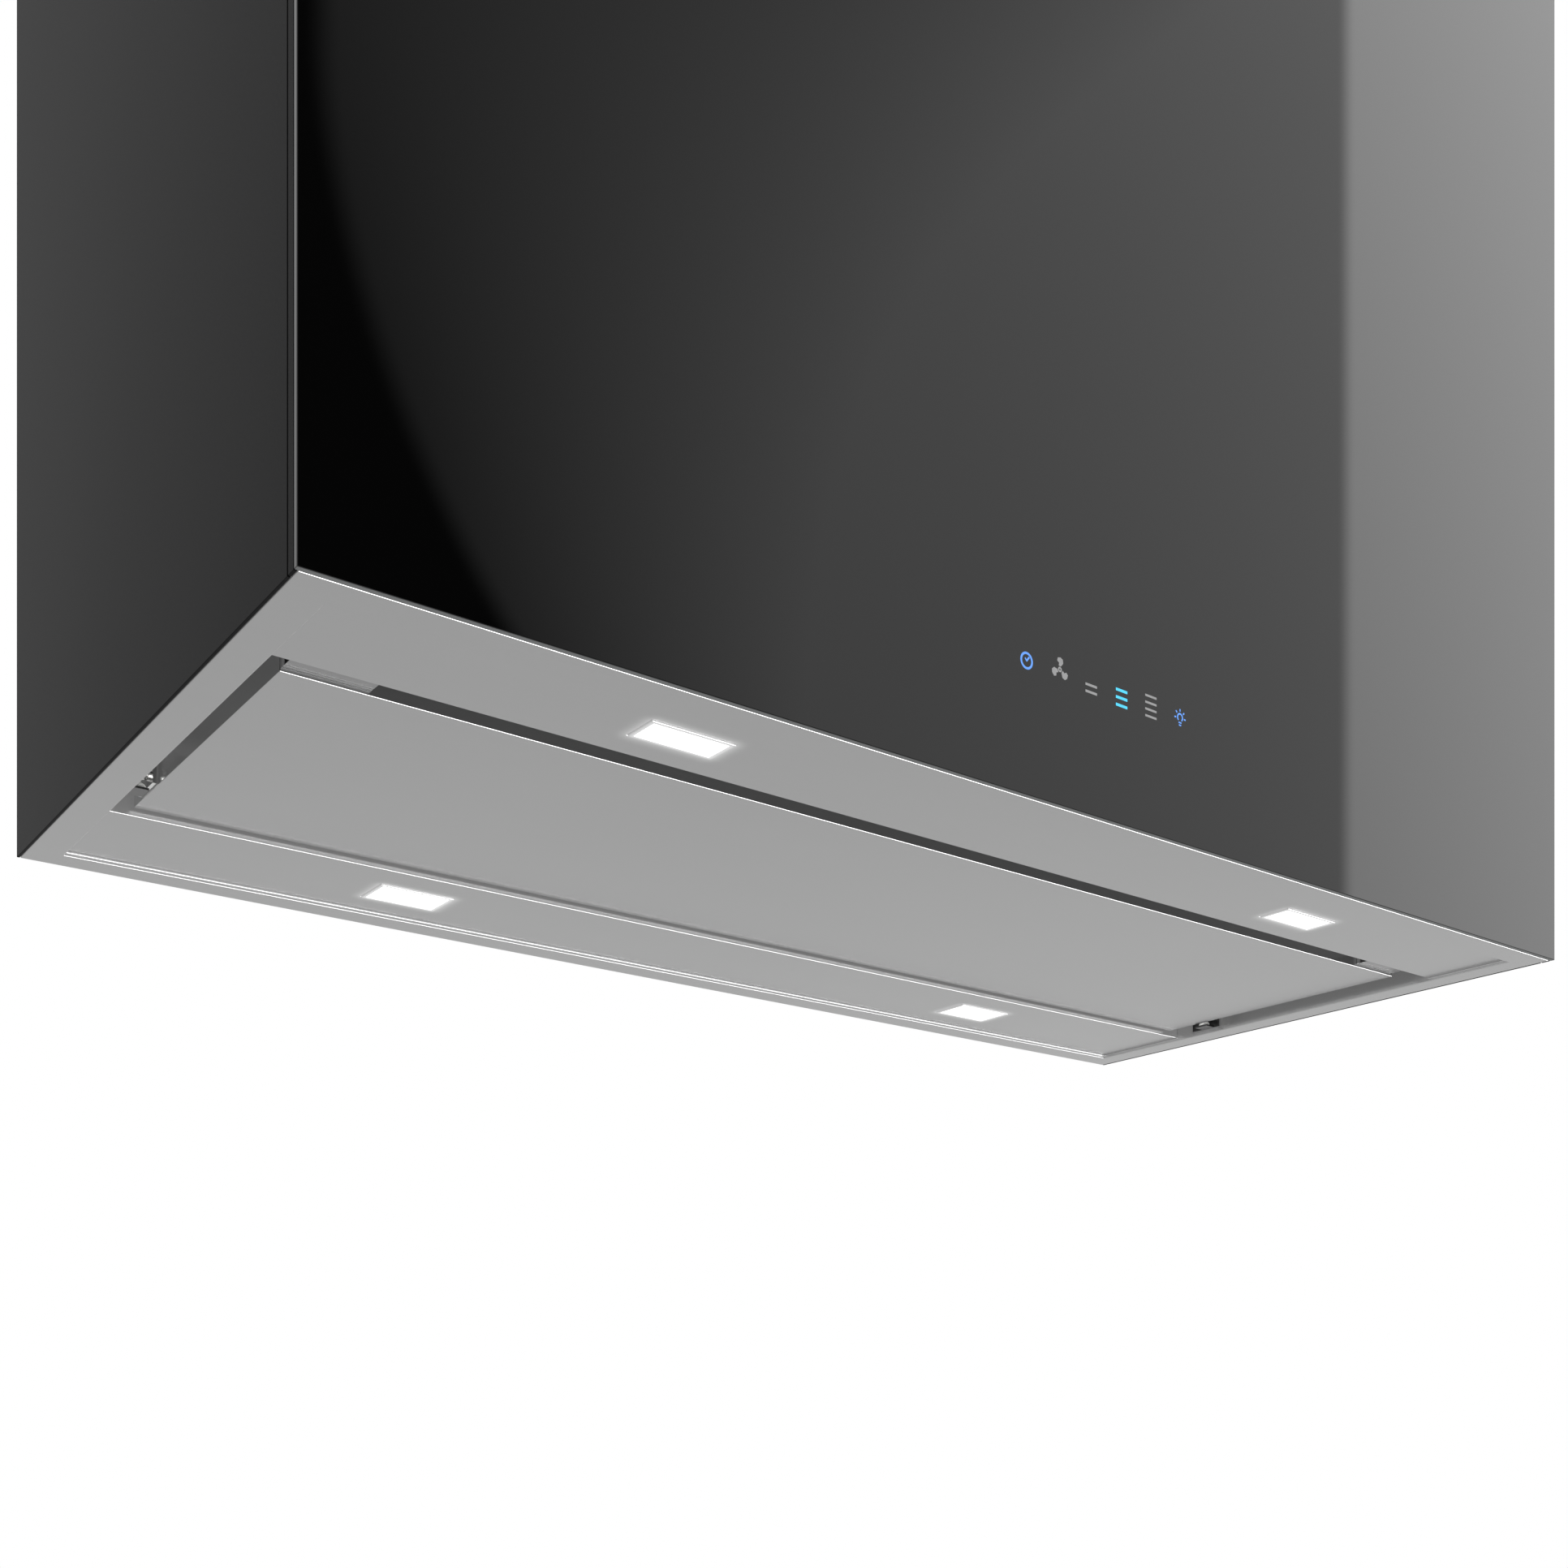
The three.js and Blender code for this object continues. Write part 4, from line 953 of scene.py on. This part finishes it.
def studio_air():
    """The world: plain white to look at, and a studio of flags and a soft box in reflections."""
    world = bpy.data.worlds.new("studio")
    world.use_nodes = True
    bpy.context.scene.world = world
    sheet = NodeSheet(world.node_tree)
    x, y, z = sheet.split(sheet.add("ShaderNodeTexCoord", output=0))
    turn = x.math("ARCTAN2", x, -y) * DEGREES
    rise = z.math("ARCSINE", z) * DEGREES
    flag_edge = 22.5 + (37.5 - rise).at_least(0.0) ** 1.611 * 0.0952
    slope = (0.062 - (rise - 28.5) * 0.0035).at_least(0.02)
    wall = (0.25 + (turn - (26.6 - (rise - 28.5) * 0.36)) * slope).at_most(1.0)
    past_flag = (turn - flag_edge).fade(-0.6, 0.6)
    behind = ((-turn - 151.0) * 0.017).at_least(0.0).at_most(0.3)
    front = 0.025 + (wall - 0.025) * past_flag + (-turn).fade(-10.0, 45.0) * 0.8 + behind
    soft_box = turn.fade(54.45, 55.0) - turn.fade(92.0, 112.0)
    front = front + soft_box * rise.fade(1.0, 8.0) * 1.33
    glossy = sheet.add("ShaderNodeLightPath", output=3)
    strength = 1.0 + (front - 1.0) * glossy
    air = sheet.add("ShaderNodeBackground", None, {"Color": (1, 1, 1, 1), "Strength": strength})
    sheet.add("ShaderNodeOutputWorld", None, {"Surface": air})


class HOOD_OT_stage(HoodStep, bpy.types.Operator):
    """Lay the studio floor, set the light and place the camera"""

    bl_idname = "hood.stage"
    bl_label = "Studio"

    def make(self, hood):
        studio = hood.studio
        floor_mesh = bmesh.new()
        bmesh.ops.create_circle(floor_mesh, cap_ends=True, segments=96, radius=studio.floor_radius)
        mesh = bpy.data.meshes.new("studio_floor")
        floor_mesh.to_mesh(mesh)
        floor_mesh.free()
        floor = bpy.data.objects.new("studio_floor", mesh)
        floor.location = (0, 0, LOW.z - studio.floor_drop)
        mesh.materials.append(studio_floor("studio_floor", hood.colours.floor))
        bpy.context.scene.collection.objects.link(floor)
        studio_air()
        self.edge_light()
        self.camera(studio)
        bpy.context.scene.view_settings.view_transform = "Standard"

    def edge_light(self):
        """A low light for the steel's rounded edges, the lamp frames and the hinges."""
        data = bpy.data.lights.new("edge_light", "AREA")
        data.shape = "RECTANGLE"
        data.size, data.size_y = 5.5, 1.6
        data.energy = 8.0 * math.pi * data.size * data.size_y
        light = bpy.data.objects.new("edge_light", data)
        light.location = (1.5, LOW.y - 0.95, LOW.z - 1.5)
        light.rotation_euler = (math.pi, 0, 0)
        light.visible_camera = False
        bpy.context.scene.collection.objects.link(light)
        edges = bpy.data.collections.new("lit_edges")
        for name in ["canopy_tray", "suction_panel", *named("led_housing_"), *named("hinge_")]:
            edges.objects.link(NODES[name])
        light.light_linking.receiver_collection = edges

    def camera(self, studio):
        data = bpy.data.cameras.new("camera")
        data.lens = studio.lens
        data.shift_y = studio.rise
        camera = bpy.data.objects.new("camera", data)
        away = Vector((studio.camera_left, studio.camera_ahead, studio.camera_below))
        camera.location = LOW - away
        camera.rotation_euler = (math.pi / 2, 0, -studio.camera_turn)
        bpy.context.scene.collection.objects.link(camera)
        bpy.context.scene.camera = camera


STEPS = (
    HOOD_OT_stage,
    HOOD_OT_glass_front,
    HOOD_OT_side_panels,
    HOOD_OT_steel_underside,
    HOOD_OT_suction_panel,
    HOOD_OT_lamps,
    HOOD_OT_hinges,
    HOOD_OT_filters,
    HOOD_OT_blower,
    HOOD_OT_duct,
    HOOD_OT_casing,
    HOOD_OT_electrics,
    HOOD_OT_signs,
    HOOD_OT_screws,
)


class HOOD_PT_panel(bpy.types.Panel):
    bl_label = "Box Range Hood"
    bl_idname = "HOOD_PT_panel"
    bl_space_type = "VIEW_3D"
    bl_region_type = "UI"
    bl_category = "Hood"

    def draw(self, context):
        hood = context.scene.hood
        for group in (hood.sizes, hood.colours, hood.studio):
            box = self.layout.box()
            for name in group.bl_rna.properties.keys():
                if name not in ("rna_type", "name"):
                    box.prop(group, name)
        for step in STEPS:
            self.layout.operator(step.bl_idname)


CLASSES = (HoodSizes, HoodColours, HoodStudio, HoodSettings, *STEPS, HOOD_PT_panel)


def register():
    for cls in CLASSES:
        bpy.utils.register_class(cls)
    bpy.types.Scene.hood = bpy.props.PointerProperty(type=HoodSettings)


def unregister():
    del bpy.types.Scene.hood
    for cls in reversed(CLASSES):
        bpy.utils.unregister_class(cls)


def main():
    register()
    for step in STEPS:
        group, operator = step.bl_idname.split(".")
        getattr(getattr(bpy.ops, group), operator)()


if __name__ == "__main__":
    main()
